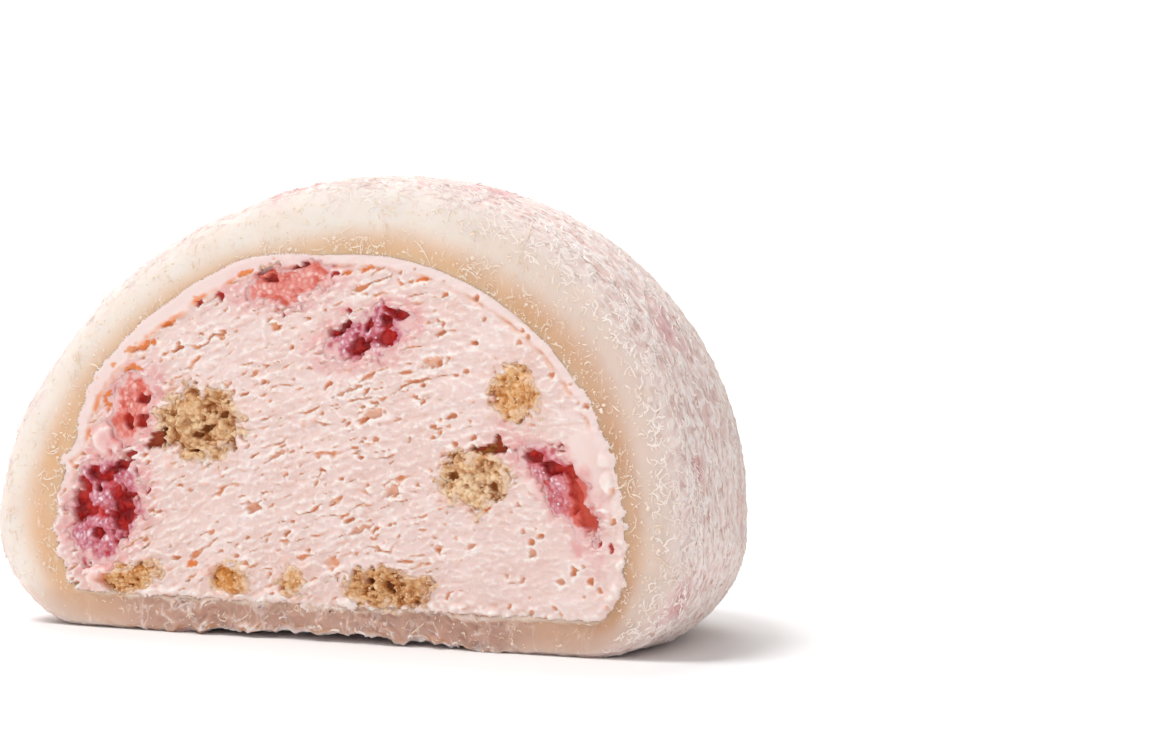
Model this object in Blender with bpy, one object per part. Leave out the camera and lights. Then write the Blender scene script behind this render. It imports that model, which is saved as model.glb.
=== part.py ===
"""Half of a mochi ice cream: a thick rice-dough skin round strawberry ice cream with fruit and biscuit pieces.

The ball stood on its flat foot and was cut in two by an upright plane. The half that is left
lies behind the plane, towards +Y, and its cut face looks towards -Y. Every piece is shaped in
the frame of the whole ball, whose axis is the Z axis, and an empty then carries them so that the
origin is on the foot's level in the middle of the half. Lengths are in metres, +Z is up.
"""

import math
from dataclasses import dataclass

import bmesh
import bpy
from mathutils import Matrix, Vector, noise

MM = 0.001

# Where the ball is cut, and how the cut's rim is softened.
CUT_Y = -2.62 * MM
RIM_ROUND_SIDE = 1.7 * MM
RIM_ROUND_FOOT = 0.5 * MM

# The gap that parts the ice cream from the dough, and each fruit or biscuit piece from the ice cream.
GAP = 0.3 * MM

# The foot lifts a little in the middle of the cut edge, where the knife pulled the dough up.
ARCH_HEIGHT = 0.5 * MM
ARCH_HALF_WIDTH = 13.0 * MM
ARCH_DEPTH = 8.0 * MM
ARCH_FADE_HEIGHT = 2.0 * MM

# How finely the round surfaces are divided. The points round them crowd towards the two sides,
# where the dome turns under to its foot.
AROUND = 72
SIDE_CROWDING = 0.35
RIM_STEPS = 4
SKIN_STATIONS = 12
CAVITY_STATIONS = 9
ROOT_STEPS = 40


@dataclass(frozen=True)
class Dome:
    """A soft dome on a flat foot: widest at its waist, rounded above and below it."""

    half_width: float  # along X at the waist
    half_depth: float  # along Y at the waist
    foot_z: float
    waist_z: float
    top_z: float
    foot_share: float  # the foot's width as a share of the waist's
    crown: float  # exponent of the curve above the waist: 2 is an ellipse, less is more pointed
    heel: float  # exponent of the curve below the waist
    centre_x: float
    lean: float  # how far the top stands to +X of the waist's centre
    lean_power: float = 1.35
    plan: float = 2.24  # exponent of the outline from above: 2 is an ellipse, more is squarer


DOUGH = Dome(
    half_width=22.5 * MM,
    half_depth=21.3 * MM,
    foot_z=0.0,
    waist_z=5.9 * MM,
    top_z=26.55 * MM,
    foot_share=0.75,
    crown=1.94,
    heel=1.85,
    centre_x=0.0,
    lean=3.4 * MM,
)
CAVITY = Dome(
    half_width=18.45 * MM,
    half_depth=17.4 * MM,
    foot_z=2.1 * MM,
    waist_z=6.3 * MM,
    top_z=22.45 * MM,
    foot_share=0.9,
    crown=1.88,
    heel=2.0,
    centre_x=0.6 * MM,
    lean=1.6 * MM,
)
ICE_CREAM = Dome(
    half_width=CAVITY.half_width - GAP,
    half_depth=CAVITY.half_depth - GAP,
    foot_z=CAVITY.foot_z + GAP,
    waist_z=CAVITY.waist_z,
    top_z=CAVITY.top_z - GAP,
    foot_share=CAVITY.foot_share,
    crown=CAVITY.crown,
    heel=CAVITY.heel,
    centre_x=CAVITY.centre_x,
    lean=CAVITY.lean,
)


# How far the half is carried along Y, from the ball's frame to the middle of the half.
HALF_SHIFT_Y = -(DOUGH.half_depth + CUT_Y) / 2


@dataclass(frozen=True)
class Lump:
    """A piece of fruit or biscuit sunk in the ice cream and cut through with it."""

    name: str
    x: float  # its middle on the cut face
    z: float
    half_length: float
    half_height: float
    tilt: float  # degrees that its long way rises towards +X
    seed: float
    fineness: int = 3  # subdivisions of the ball it is shaped from


STRAWBERRIES = (
    Lump("strawberry_left_low", -14.2 * MM, 7.4 * MM, 3.1 * MM, 2.15 * MM, 66, 1.3),
    Lump("strawberry_left_high", -12.75 * MM, 12.8 * MM, 2.1 * MM, 1.4 * MM, 58, 5.1),
    Lump("strawberry_top", -2.6 * MM, 20.5 * MM, 2.8 * MM, 1.0 * MM, 12, 2.7, 2),
    Lump("strawberry_centre", 2.8 * MM, 17.9 * MM, 2.8 * MM, 1.35 * MM, 18, 8.4),
    Lump("strawberry_right", 14.9 * MM, 9.2 * MM, 3.7 * MM, 1.45 * MM, -42, 3.9),
)
BISCUITS = (
    Lump("biscuit_left", -8.25 * MM, 12.25 * MM, 2.65 * MM, 2.1 * MM, 8, 11.2),
    Lump("biscuit_right_high", 12.1 * MM, 14.7 * MM, 1.55 * MM, 1.4 * MM, 0, 14.5, 2),
    Lump("biscuit_right_low", 9.6 * MM, 9.75 * MM, 2.25 * MM, 1.7 * MM, 6, 17.8),
    Lump("biscuit_foot_far_left", -13.1 * MM, 3.35 * MM, 2.1 * MM, 0.85 * MM, 6, 21.1, 2),
    Lump("biscuit_foot_left", -6.4 * MM, 3.45 * MM, 1.25 * MM, 1.0 * MM, 0, 24.6, 2),
    Lump("biscuit_foot_middle", -2.3 * MM, 3.5 * MM, 0.85 * MM, 0.95 * MM, 0, 27.3, 2),
    Lump("biscuit_foot_right", 3.9 * MM, 3.55 * MM, 2.85 * MM, 1.1 * MM, 0, 30.9),
)
LUMP_DEPTH_SHARE = 1.0  # half depth as a share of the mean of half length and half height
LUMP_CENTRE_SHARE = 0.2  # how much of that half depth its middle lies behind the cut
STRAWBERRY_UNEVENNESS = 0.10
BISCUIT_UNEVENNESS = 0.16
UNEVENNESS_FREQUENCY = 1.6
POCKET_COLLECTION = "pockets"


def smooth_step(value, low, high):
    """0 below low, 1 above high, and a smooth change between them."""
    share = min(max((value - low) / (high - low), 0.0), 1.0)
    return share * share * (3.0 - 2.0 * share)


def inside(dome, x, y, z):
    """Whether a point lies inside a dome."""
    if not dome.foot_z <= z < dome.top_z:
        return False
    if z > dome.waist_z:
        climb = (z - dome.waist_z) / (dome.top_z - dome.waist_z)
        share = (1.0 - climb**dome.crown) ** (1.0 / dome.crown)
        middle = dome.centre_x + dome.lean * climb**dome.lean_power
    else:
        drop = (dome.waist_z - z) / (dome.waist_z - dome.foot_z)
        bulge = (1.0 - drop**dome.heel) ** (1.0 / dome.heel)
        share = dome.foot_share + (1.0 - dome.foot_share) * bulge
        middle = dome.centre_x
    across = abs(x - middle) / (dome.half_width * share)
    along = abs(y) / (dome.half_depth * share)
    return across**dome.plan + along**dome.plan < 1.0


def reach(dome, y, angle):
    """How far the skin stands from the waist's centre line at depth y, in the upright direction angle."""
    near = 0.0
    far = dome.half_width + dome.top_z
    for _ in range(ROOT_STEPS):
        middle = (near + far) / 2
        x = dome.centre_x + middle * math.cos(angle)
        z = dome.waist_z + middle * math.sin(angle)
        if inside(dome, x, y, z):
            near = middle
        else:
            far = middle
    return near


def ring(dome, depth_and_inset):
    """A loop of points round a dome; depth_and_inset gives each direction's depth and how far it is drawn in."""
    points = []
    for step in range(AROUND):
        even = 2.0 * math.pi * step / AROUND
        angle = even - SIDE_CROWDING * math.sin(2.0 * even) / 2
        y, inset = depth_and_inset(angle)
        distance = reach(dome, y, angle) - inset
        x = dome.centre_x + distance * math.cos(angle)
        z = dome.waist_z + distance * math.sin(angle)
        points.append(Vector((x, y, z)))
    return points


def station_depths(dome, start_y, count):
    """Depths from start_y towards the dome's back, closer together where it turns away."""
    first = math.asin(start_y / dome.half_depth)
    for step in range(count):
        yield dome.half_depth * math.sin(first + (math.pi / 2 - first) * step / count)


def dome_rings(dome, start_y, count):
    """Loops from start_y to near the back of a dome."""
    return [ring(dome, lambda angle, y=y: (y, 0.0)) for y in station_depths(dome, start_y, count)]


def rim_radius(angle):
    """The rounding of the cut's rim in the upright direction angle: soft at the sides, tight along the foot."""
    foot = smooth_step(-math.sin(angle), 0.15, 0.6)
    return RIM_ROUND_SIDE + (RIM_ROUND_FOOT - RIM_ROUND_SIDE) * foot


def rim_rings():
    """Loops over the rounded rim, from the cut face to where the outer skin begins."""
    rings = []
    for step in range(RIM_STEPS + 1):
        turn = math.pi / 2 * step / RIM_STEPS

        def depth_and_inset(angle, turn=turn):
            radius = rim_radius(angle)
            return CUT_Y + radius * (1.0 - math.cos(turn)), radius * (1.0 - math.sin(turn))

        rings.append(ring(DOUGH, depth_and_inset))
    return rings


def back_pole(dome):
    """The hindmost point of a dome."""
    return Vector((dome.centre_x, dome.half_depth, dome.waist_z))


def lift_arch(point):
    """Raises a point of the dough's underside where the foot arches at the cut."""
    across = max(1.0 - (point.x / ARCH_HALF_WIDTH) ** 2, 0.0) ** 2
    along = 1.0 - smooth_step(point.y, CUT_Y + RIM_ROUND_FOOT, CUT_Y + ARCH_DEPTH)
    low = max(1.0 - point.z / ARCH_FADE_HEIGHT, 0.0)
    return Vector((point.x, point.y, point.z + ARCH_HEIGHT * across * along * low))


def loft(rings, first_pole, last_pole):
    """A closed mesh through loops of equal count; a pole closes an end, and None closes it with a flat face."""
    mesh = bmesh.new()
    loops = [[mesh.verts.new(point) for point in points] for points in rings]
    for lower, upper in zip(loops, loops[1:]):
        for step in range(AROUND):
            after = (step + 1) % AROUND
            mesh.faces.new((lower[step], lower[after], upper[after], upper[step]))
    for loop, pole in ((loops[0], first_pole), (loops[-1], last_pole)):
        if pole is None:
            mesh.faces.new(loop)
            continue
        tip = mesh.verts.new(pole)
        for step in range(AROUND):
            mesh.faces.new((loop[step], loop[(step + 1) % AROUND], tip))
    bmesh.ops.recalc_face_normals(mesh, faces=mesh.faces)
    return mesh


def finish_object(name, mesh, material, collection=None):
    """Turns a bmesh into a smooth-shaded object with its material."""
    data = bpy.data.meshes.new(name)
    mesh.to_mesh(data)
    mesh.free()
    data.shade_smooth()
    data.set_sharp_from_angle(angle=math.radians(35))
    if material:
        data.materials.append(material)
    made = bpy.data.objects.new(name, data)
    (collection or bpy.context.scene.collection).objects.link(made)
    return made


def hex_colour(code):
    """An sRGB hex colour as linear red, green, blue and alpha."""
    values = [int(code[i : i + 2], 16) / 255 for i in (1, 3, 5)]
    linear = [v / 12.92 if v <= 0.04045 else ((v + 0.055) / 1.055) ** 2.4 for v in values]
    return (*linear, 1.0)


def food_material(name, colour, roughness):
    """A plain food surface."""
    made = bpy.data.materials.new(name)
    made.use_nodes = True
    shader = made.node_tree.nodes["Principled BSDF"]
    shader.inputs["Base Color"].default_value = hex_colour(colour)
    shader.inputs["Roughness"].default_value = roughness
    shader.inputs["Metallic"].default_value = 0.0
    return made


def make_dough(material):
    """The skin: one shell that runs forward along its cavity, over the cut's rim and back outside."""
    cavity = dome_rings(CAVITY, CUT_Y, CAVITY_STATIONS)
    outside = dome_rings(DOUGH, CUT_Y + RIM_ROUND_SIDE, SKIN_STATIONS)[1:]
    rings = cavity[::-1] + rim_rings() + outside
    rings[len(cavity) :] = [[lift_arch(point) for point in points] for points in rings[len(cavity) :]]
    mesh = loft(rings, back_pole(CAVITY), back_pole(DOUGH))
    return finish_object("dough_skin", mesh, material)


def make_ice_cream(material, pockets):
    """The filling, with a pocket for each piece that is sunk in it."""
    mesh = loft(dome_rings(ICE_CREAM, CUT_Y, CAVITY_STATIONS), None, back_pole(ICE_CREAM))
    filling = finish_object("ice_cream", mesh, material)
    cut = filling.modifiers.new("pockets", "BOOLEAN")
    cut.operation = "DIFFERENCE"
    cut.operand_type = "COLLECTION"
    cut.collection = pockets
    cut.solver = "EXACT"
    return filling


def lump_mesh(lump, unevenness, grow):
    """An uneven rounded lump, drawn out by grow on every side."""
    half_depth = LUMP_DEPTH_SHARE * (lump.half_length + lump.half_height) / 2
    size = Vector((lump.half_length + grow, half_depth + grow, lump.half_height + grow))
    mesh = bmesh.new()
    bmesh.ops.create_icosphere(mesh, subdivisions=lump.fineness, radius=1.0)
    offset = Vector((lump.seed, lump.seed, lump.seed))
    for vert in mesh.verts:
        swell = 1.0 - unevenness * (1.0 + noise.noise(vert.co * UNEVENNESS_FREQUENCY + offset)) / 2
        vert.co *= swell
    depth = CUT_Y + LUMP_CENTRE_SHARE * half_depth
    turn = Matrix.Rotation(-math.radians(lump.tilt), 4, "Y")
    place = Matrix.Translation((lump.x, depth, lump.z))
    mesh.transform(place @ turn @ Matrix.Diagonal((*size, 1.0)))
    return mesh


def make_lump(lump, unevenness, material):
    """A piece of fruit or biscuit, cut off level with the cut face."""
    mesh = lump_mesh(lump, unevenness, 0.0)
    parts = mesh.verts[:] + mesh.edges[:] + mesh.faces[:]
    cut = bmesh.ops.bisect_plane(
        mesh, geom=parts, plane_co=(0, CUT_Y, 0), plane_no=(0, -1, 0), clear_outer=True
    )
    edges = [part for part in cut["geom_cut"] if isinstance(part, bmesh.types.BMEdge)]
    bmesh.ops.edgeloop_fill(mesh, edges=edges)
    bmesh.ops.recalc_face_normals(mesh, faces=mesh.faces)
    return finish_object(lump.name, mesh, material)


def make_pocket(lump, unevenness, pockets):
    """The cutter of a piece's pocket: the piece's own shape, a gap larger."""
    cutter = finish_object("pocket_" + lump.name, lump_mesh(lump, unevenness, GAP), None, pockets)
    cutter.hide_render = True
    cutter.display_type = "WIRE"


def main():
    for old in list(bpy.data.objects):
        bpy.data.objects.remove(old)
    holder = bpy.data.objects.new("half_ball", None)
    holder.location = (0.0, HALF_SHIFT_Y, 0.0)
    bpy.context.scene.collection.objects.link(holder)
    pockets = bpy.data.collections.new(POCKET_COLLECTION)
    bpy.context.scene.collection.children.link(pockets)

    make_dough(food_material("steamed rice dough", "#ECD8C8", 0.55))
    make_ice_cream(food_material("strawberry ice cream", "#EFD1C9", 0.6), pockets)
    strawberry = food_material("frozen strawberry", "#B83A3A", 0.35)
    biscuit = food_material("baked biscuit", "#CDA075", 0.85)
    for lumps, unevenness, material in (
        (STRAWBERRIES, STRAWBERRY_UNEVENNESS, strawberry),
        (BISCUITS, BISCUIT_UNEVENNESS, biscuit),
    ):
        for lump in lumps:
            make_pocket(lump, unevenness, pockets)
            make_lump(lump, unevenness, material)
    for piece in bpy.data.objects:
        if piece != holder:
            piece.parent = holder


main()
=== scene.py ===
"""Looks of the half of a mochi ice cream: its floured dough skin, its cut face and what is sunk in it.

Shapes are worked out in millimetres in the frame of the whole ball, whose axis is Z, and a mesh is
carried into the part's own frame, in metres, as it is made. The cut looks towards -Y.
"""
import functools
import math
from dataclasses import dataclass, replace

import bmesh
import bpy
import numpy as np
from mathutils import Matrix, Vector, geometry


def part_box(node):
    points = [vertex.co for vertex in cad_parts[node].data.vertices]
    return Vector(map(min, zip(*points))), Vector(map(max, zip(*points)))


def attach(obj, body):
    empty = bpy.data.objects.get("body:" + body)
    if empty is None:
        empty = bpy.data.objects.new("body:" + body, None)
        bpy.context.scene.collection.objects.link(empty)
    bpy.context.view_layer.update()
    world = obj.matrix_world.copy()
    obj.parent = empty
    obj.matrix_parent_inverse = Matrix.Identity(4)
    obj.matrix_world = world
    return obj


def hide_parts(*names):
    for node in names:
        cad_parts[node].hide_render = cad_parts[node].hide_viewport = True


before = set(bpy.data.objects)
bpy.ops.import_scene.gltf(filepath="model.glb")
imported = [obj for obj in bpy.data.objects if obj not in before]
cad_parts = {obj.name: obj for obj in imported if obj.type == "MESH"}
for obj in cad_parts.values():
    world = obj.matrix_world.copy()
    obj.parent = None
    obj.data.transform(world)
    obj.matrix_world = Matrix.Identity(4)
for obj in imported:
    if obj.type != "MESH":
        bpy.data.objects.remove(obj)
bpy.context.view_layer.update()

MM = 0.001

# The frame of the whole ball. Its cut stands a little in front of the ball's axis.
CUT_Y = -2.62
skin_low, skin_high = (np.array(corner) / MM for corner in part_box("dough_skin"))
BALL_SHIFT = np.array((0.0, skin_low[1] - CUT_Y, 0.0))
RIM_ROUND_SIDE = 1.7
RIM_ROUND_FOOT = 0.5

ARCH_HEIGHT = 0.5
ARCH_HALF_WIDTH = 13.0
ARCH_DEPTH = 8.0
ARCH_FADE_HEIGHT = 2.0


def rise(value, low, high):
    """0 below low, 1 above high, and a smooth change between them."""
    share = np.clip((value - low) / (high - low), 0.0, 1.0)
    return share * share * (3.0 - 2.0 * share)


def fall(value, low, high):
    """1 below low, 0 above high, and a smooth change between them."""
    return 1.0 - rise(value, low, high)


def at_least(values, least):
    """Raises values in place to what they have to be at least."""
    np.maximum(values, least, out=values)


def turned(x, z, turn):
    """Coordinates along and across a direction on the cut."""
    return x * np.cos(turn) + z * np.sin(turn), z * np.cos(turn) - x * np.sin(turn)


@dataclass(frozen=True)
class Dome:
    """A soft dome on a flat foot: widest at its waist, rounded above and below it."""

    half_width: float
    half_depth: float
    foot_z: float
    waist_z: float
    top_z: float
    foot_share: float
    crown: float
    heel: float
    centre_x: float
    lean: float
    lean_power: float = 1.35
    plan: float = 2.24

    def holds(self, x, y, z):
        """Whether points lie inside the dome."""
        climb = np.clip((z - self.waist_z) / (self.top_z - self.waist_z), 0.0, 1.0)
        drop = np.clip((self.waist_z - z) / (self.waist_z - self.foot_z), 0.0, 1.0)
        above = (1.0 - climb**self.crown) ** (1.0 / self.crown)
        below = self.foot_share + (1.0 - self.foot_share) * (1.0 - drop**self.heel) ** (1.0 / self.heel)
        share = np.maximum(np.where(z > self.waist_z, above, below), 1e-9)
        middle = self.centre_x + self.lean * climb**self.lean_power
        across = np.abs(x - middle) / (self.half_width * share)
        along = np.abs(y) / (self.half_depth * share)
        level = (z >= self.foot_z) & (z < self.top_z)
        return level & (across**self.plan + along**self.plan < 1.0)

    def loop(self, y, angle, inset=0.0):
        """Points of the skin at depth y in upright directions from the waist, drawn in by inset."""
        near = np.zeros(np.broadcast(y, angle).shape)
        far = near + self.half_width + self.top_z
        across, up = np.cos(angle), np.sin(angle)
        for _ in range(30):
            middle = (near + far) / 2
            held = self.holds(self.centre_x + middle * across, y, self.waist_z + middle * up)
            near, far = np.where(held, middle, near), np.where(held, far, middle)
        distance = near - inset
        x = self.centre_x + distance * across
        return np.stack((x, np.broadcast_to(y, x.shape), self.waist_z + distance * up), axis=-1)

    def even_angles(self, y, count):
        """Directions of points spaced evenly round the outline at depth y."""
        fine = np.linspace(0.0, 2.0 * math.pi, 6001)
        steps = np.linalg.norm(np.diff(self.loop(y, fine), axis=0), axis=1)
        length = np.concatenate(((0.0,), np.cumsum(steps)))
        return np.interp(np.arange(count) / count * length[-1], length, fine)

    def pole(self):
        """The hindmost point."""
        return np.array((self.centre_x, self.half_depth, self.waist_z))


DOUGH = Dome(
    half_width=(skin_high[0] - skin_low[0]) / 2,
    half_depth=skin_high[1] - BALL_SHIFT[1],
    foot_z=0.0,
    waist_z=5.9,
    top_z=skin_high[2],
    foot_share=0.75,
    crown=1.94,
    heel=1.85,
    centre_x=0.0,
    lean=3.4,
)
CAVITY = Dome(
    half_width=18.45,
    half_depth=17.4,
    foot_z=2.1,
    waist_z=6.3,
    top_z=22.45,
    foot_share=0.9,
    crown=1.88,
    heel=2.0,
    centre_x=0.6,
    lean=1.6,
)
FILLING = replace(CAVITY, half_width=18.15, half_depth=17.1, foot_z=2.4, top_z=22.15)


# ---------------------------------------------------------------- random values in space


class Grain:
    """Smooth random values in space, about -1 to 1, the same on every run. A seed picks the pattern."""

    def __init__(self, seed):
        random = np.random.default_rng(seed)
        self.order = np.tile(random.permutation(256), 3)
        slopes = random.normal(size=(256, 3))
        self.slopes = slopes / np.linalg.norm(slopes, axis=1, keepdims=True)
        self.places = random.random((256, 3))

    def key(self, cell):
        """A number from 0 to 255 for each whole cell."""
        key = self.order[cell[..., 0] & 255]
        for axis in (1, 2):
            key = self.order[key + (cell[..., axis] & 255)]
        return key

    def smooth(self, points):
        """Gradient noise with cells of size 1."""
        cell = np.floor(points).astype(np.int64)
        inner = points - cell
        fade = inner**3 * (inner * (inner * 6.0 - 15.0) + 10.0)
        total = np.zeros(points.shape[:-1])
        for corner in np.ndindex(2, 2, 2):
            corner = np.array(corner)
            height = np.einsum("...i,...i", self.slopes[self.key(cell + corner)], inner - corner)
            total += np.prod(np.where(corner == 1, fade, 1.0 - fade), axis=-1) * height
        return total * 1.6

    def layered(self, points, layers=3, share=0.5):
        """Noise with finer and weaker noise on it."""
        return sum(
            share**layer * self.smooth(points * 2.03**layer + 7.7 * layer) for layer in range(layers)
        )

    def on_cut(self, x, z, size, depth=0.0, layers=3, share=0.5):
        """Layered noise on the cut, with lumps about size mm wide."""
        return self.layered(flat(x / size, z / size, depth), layers, share)

    def push(self, points, apart):
        """Three unrelated values at each point, to shift it by."""
        return np.stack([self.smooth(points + apart * axis) for axis in range(3)], axis=1)

    def ridged(self, points, layers=2):
        """Sharp crests, about 0 to 1, over rounded hollows."""
        total = 0.0
        for layer in range(layers):
            crest = 1.0 - np.abs(self.smooth(points * 2.1**layer + 3.3 * layer)) * 1.7
            total += 0.5**layer * np.clip(crest, 0.0, 1.0) ** 2
        return total / (2.0 - 0.5 ** (layers - 1))

    def cells(self, points):
        """Distance to the nearest and second nearest of scattered seeds, and the nearest one's key."""
        cell = np.floor(points).astype(np.int64)
        nearest, second = np.full((2, *points.shape[:-1]), 9.0)
        owner = np.zeros(points.shape[:-1], np.int64)
        for step in np.ndindex(3, 3, 3):
            other = cell + np.array(step) - 1
            key = self.key(other)
            away = np.linalg.norm(other + self.places[key] - points, axis=-1)
            closer = away < nearest
            second = np.where(closer, nearest, np.minimum(second, away))
            owner = np.where(closer, key, owner)
            nearest = np.where(closer, away, nearest)
        return nearest, second, owner / 255.0


def flat(x, z, depth=0.0):
    """Points on an upright plane, for sampling noise."""
    return np.stack((x, np.full_like(x, depth), z), axis=-1)


# ---------------------------------------------------------------- meshes


def add_thing(name, data):
    """An object in the scene that shows a mesh, a light or a camera."""
    thing = bpy.data.objects.new(name, data)
    bpy.context.scene.collection.objects.link(thing)
    return thing


def make_piece(name, points, triangles, material, slot, fields=None, bake_map=None, soft=True):
    """A mesh of the part from points in the ball's frame, with its named values at each point."""
    mesh = bpy.data.meshes.new(name)
    placed = (points + BALL_SHIFT) * MM
    mesh.vertices.add(len(points))
    mesh.vertices.foreach_set("co", placed.astype(np.float32).ravel())
    mesh.loops.add(triangles.size)
    mesh.loops.foreach_set("vertex_index", triangles.astype(np.int32).ravel())
    mesh.polygons.add(len(triangles))
    mesh.polygons.foreach_set("loop_start", np.arange(0, triangles.size, 3, dtype=np.int32))
    mesh.update(calc_edges=True)
    if soft:
        mesh.shade_smooth()
    else:
        mesh.shade_flat()
    for key, values in (fields or {}).items():
        layer = mesh.attributes.new(key, "FLOAT", "POINT")
        layer.data.foreach_set("value", values.astype(np.float32))
    if bake_map is not None:
        mesh.uv_layers.new(name="OFBake").data.foreach_set("uv", bake_map.astype(np.float32).ravel())
    mesh.materials.append(material)
    piece = add_thing(name, mesh)
    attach(piece, "root")
    return piece


# How much of a piece's flat image its back gets, which is hidden in the dough, and the gap above that.
BACK_SHARE = 0.12
BACK_GAP = 0.02

# How much of its real height a loop in the cavity gets on the dough's flat image.
HIDDEN_SHARE = 0.05


def flat_places(points):
    """Where points lie in the upright rectangle round them, each way from 0 to 1."""
    seen = points[:, (0, 2)]
    return (seen - seen.min(axis=0)) / np.ptp(seen, axis=0)


def above_back(places):
    """Places on a piece's flat image, moved into what its back leaves."""
    low = BACK_SHARE + BACK_GAP
    return places * (1.0, 1.0 - low) + (0.0, low)


def face_out(points, triangles):
    """The triangles turned so that they face outwards."""
    a, b, c = points[triangles].swapaxes(0, 1)
    volume = np.einsum("ij,ij", a, np.cross(b, c))
    return triangles if volume > 0 else triangles[:, ::-1]


def triangle_sides(points, triangles):
    """Each triangle's direction, as long as twice its area."""
    a, b, c = points[triangles].swapaxes(0, 1)
    return np.cross(b - a, c - a)


def point_normals(points, triangles):
    """The outward direction at each point of a mesh."""
    across = triangle_sides(points, triangles)
    total = np.zeros_like(points)
    for corner in range(3):
        for axis in range(3):
            total[:, axis] += np.bincount(triangles[:, corner], across[:, axis], len(points))
    return total / np.maximum(np.linalg.norm(total, axis=1, keepdims=True), 1e-12)


def smoothed(values, triangles, rounds):
    """Values evened out over a mesh: each takes the mean of its neighbours, round after round."""
    one, two = np.concatenate([triangles[:, (corner, (corner + 1) % 3)] for corner in range(3)]).T
    count = len(values)
    neighbours = np.bincount(one, minlength=count) + np.bincount(two, minlength=count)
    for _ in range(rounds):
        total = np.bincount(one, values[two], count) + np.bincount(two, values[one], count)
        values = total / neighbours
    return values


def join_loops(low, high):
    """Triangles between two closed loops of point numbers, where one may have half the other's points."""
    if len(high) == 1:
        return np.stack((low, np.roll(low, -1), np.repeat(high, len(low))), axis=1)
    if len(low) < len(high):
        return join_loops(high, low)[:, ::-1]
    after = np.roll(high, -1)
    if len(low) == len(high):
        low_after = np.roll(low, -1)
        rows = (low, low_after, after), (low, after, high)
    else:
        even, odd = low[::2], low[1::2]
        rows = (even, odd, high), (odd, after, high), (odd, np.roll(even, -1), after)
    return np.concatenate([np.stack(row, axis=1) for row in rows])


class Loft:
    """A closed skin through loops of points, where a loop may have half or twice the points of the last."""

    def __init__(self):
        self.points, self.triangles, self.marks, self.turns, self.rows = [], [], [], [], []
        self.last = np.arange(0)

    def add(self, loop, mark):
        """Joins the next loop, or a single end point, to the last one. mark is kept for each point."""
        loop = np.atleast_2d(loop)
        size = len(loop)
        first = self.last[-1] + 1 if self.points else 0
        numbers = np.arange(first, first + size)
        row = 0.0
        if self.points:
            last = self.points[-1]
            common = min(size, len(last))
            step = loop[:: size // common] - last[:: len(last) // common]
            height = np.linalg.norm(step, axis=1).mean()
            row = self.rows[-1][0] + height * (HIDDEN_SHARE if mark < 0 else 1.0)
            self.triangles.append(join_loops(self.last, numbers))
        self.points.append(loop)
        self.marks.append(np.full(size, float(mark)))
        self.rows.append(np.full(size, row))
        self.turns.append(np.arange(size) / size if size > 1 else np.full(1, 0.5))
        self.last = numbers

    def bake_map(self, triangles):
        """Places on a flat image for triangles' corners: across it round a loop, up it from loop to loop."""
        turn = np.concatenate(self.turns)[triangles]
        width = np.ptp(turn, axis=1, keepdims=True)
        turn = turn + ((width > 0.6) & (turn < 0.3))
        row = np.concatenate(self.rows)[triangles] / self.rows[-1][0]
        return np.stack((turn / 1.01, row), axis=-1)

    def result(self):
        """All points, triangles facing out, and each point's mark."""
        points = np.concatenate(self.points)
        triangles = np.concatenate(self.triangles)
        return points, face_out(points, triangles), np.concatenate(self.marks)


# ---------------------------------------------------------------- materials


def hex_colour(code):
    """An sRGB hex colour as linear red, green, blue and alpha."""
    values = [int(code[i : i + 2], 16) / 255 for i in (1, 3, 5)]
    linear = [v / 12.92 if v <= 0.04045 else ((v + 0.055) / 1.055) ** 2.4 for v in values]
    return (*linear, 1.0)


def feed(tree, socket, value):
    """Sets a socket to a value or a hex colour, or links an output to it."""
    if isinstance(value, bpy.types.NodeSocket):
        tree.links.new(value, socket)
    else:
        socket.default_value = hex_colour(value) if isinstance(value, str) else value


def add_node(tree, kind, output, links=(), **settings):
    """Adds a node with its settings, feeds its sockets, and gives one of its outputs."""
    node = tree.nodes.new("ShaderNode" + kind)
    for key, value in settings.items():
        setattr(node, key, value)
    for key, value in dict(links).items():
        feed(tree, node.inputs[key], value)
    return node.outputs[output]


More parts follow.
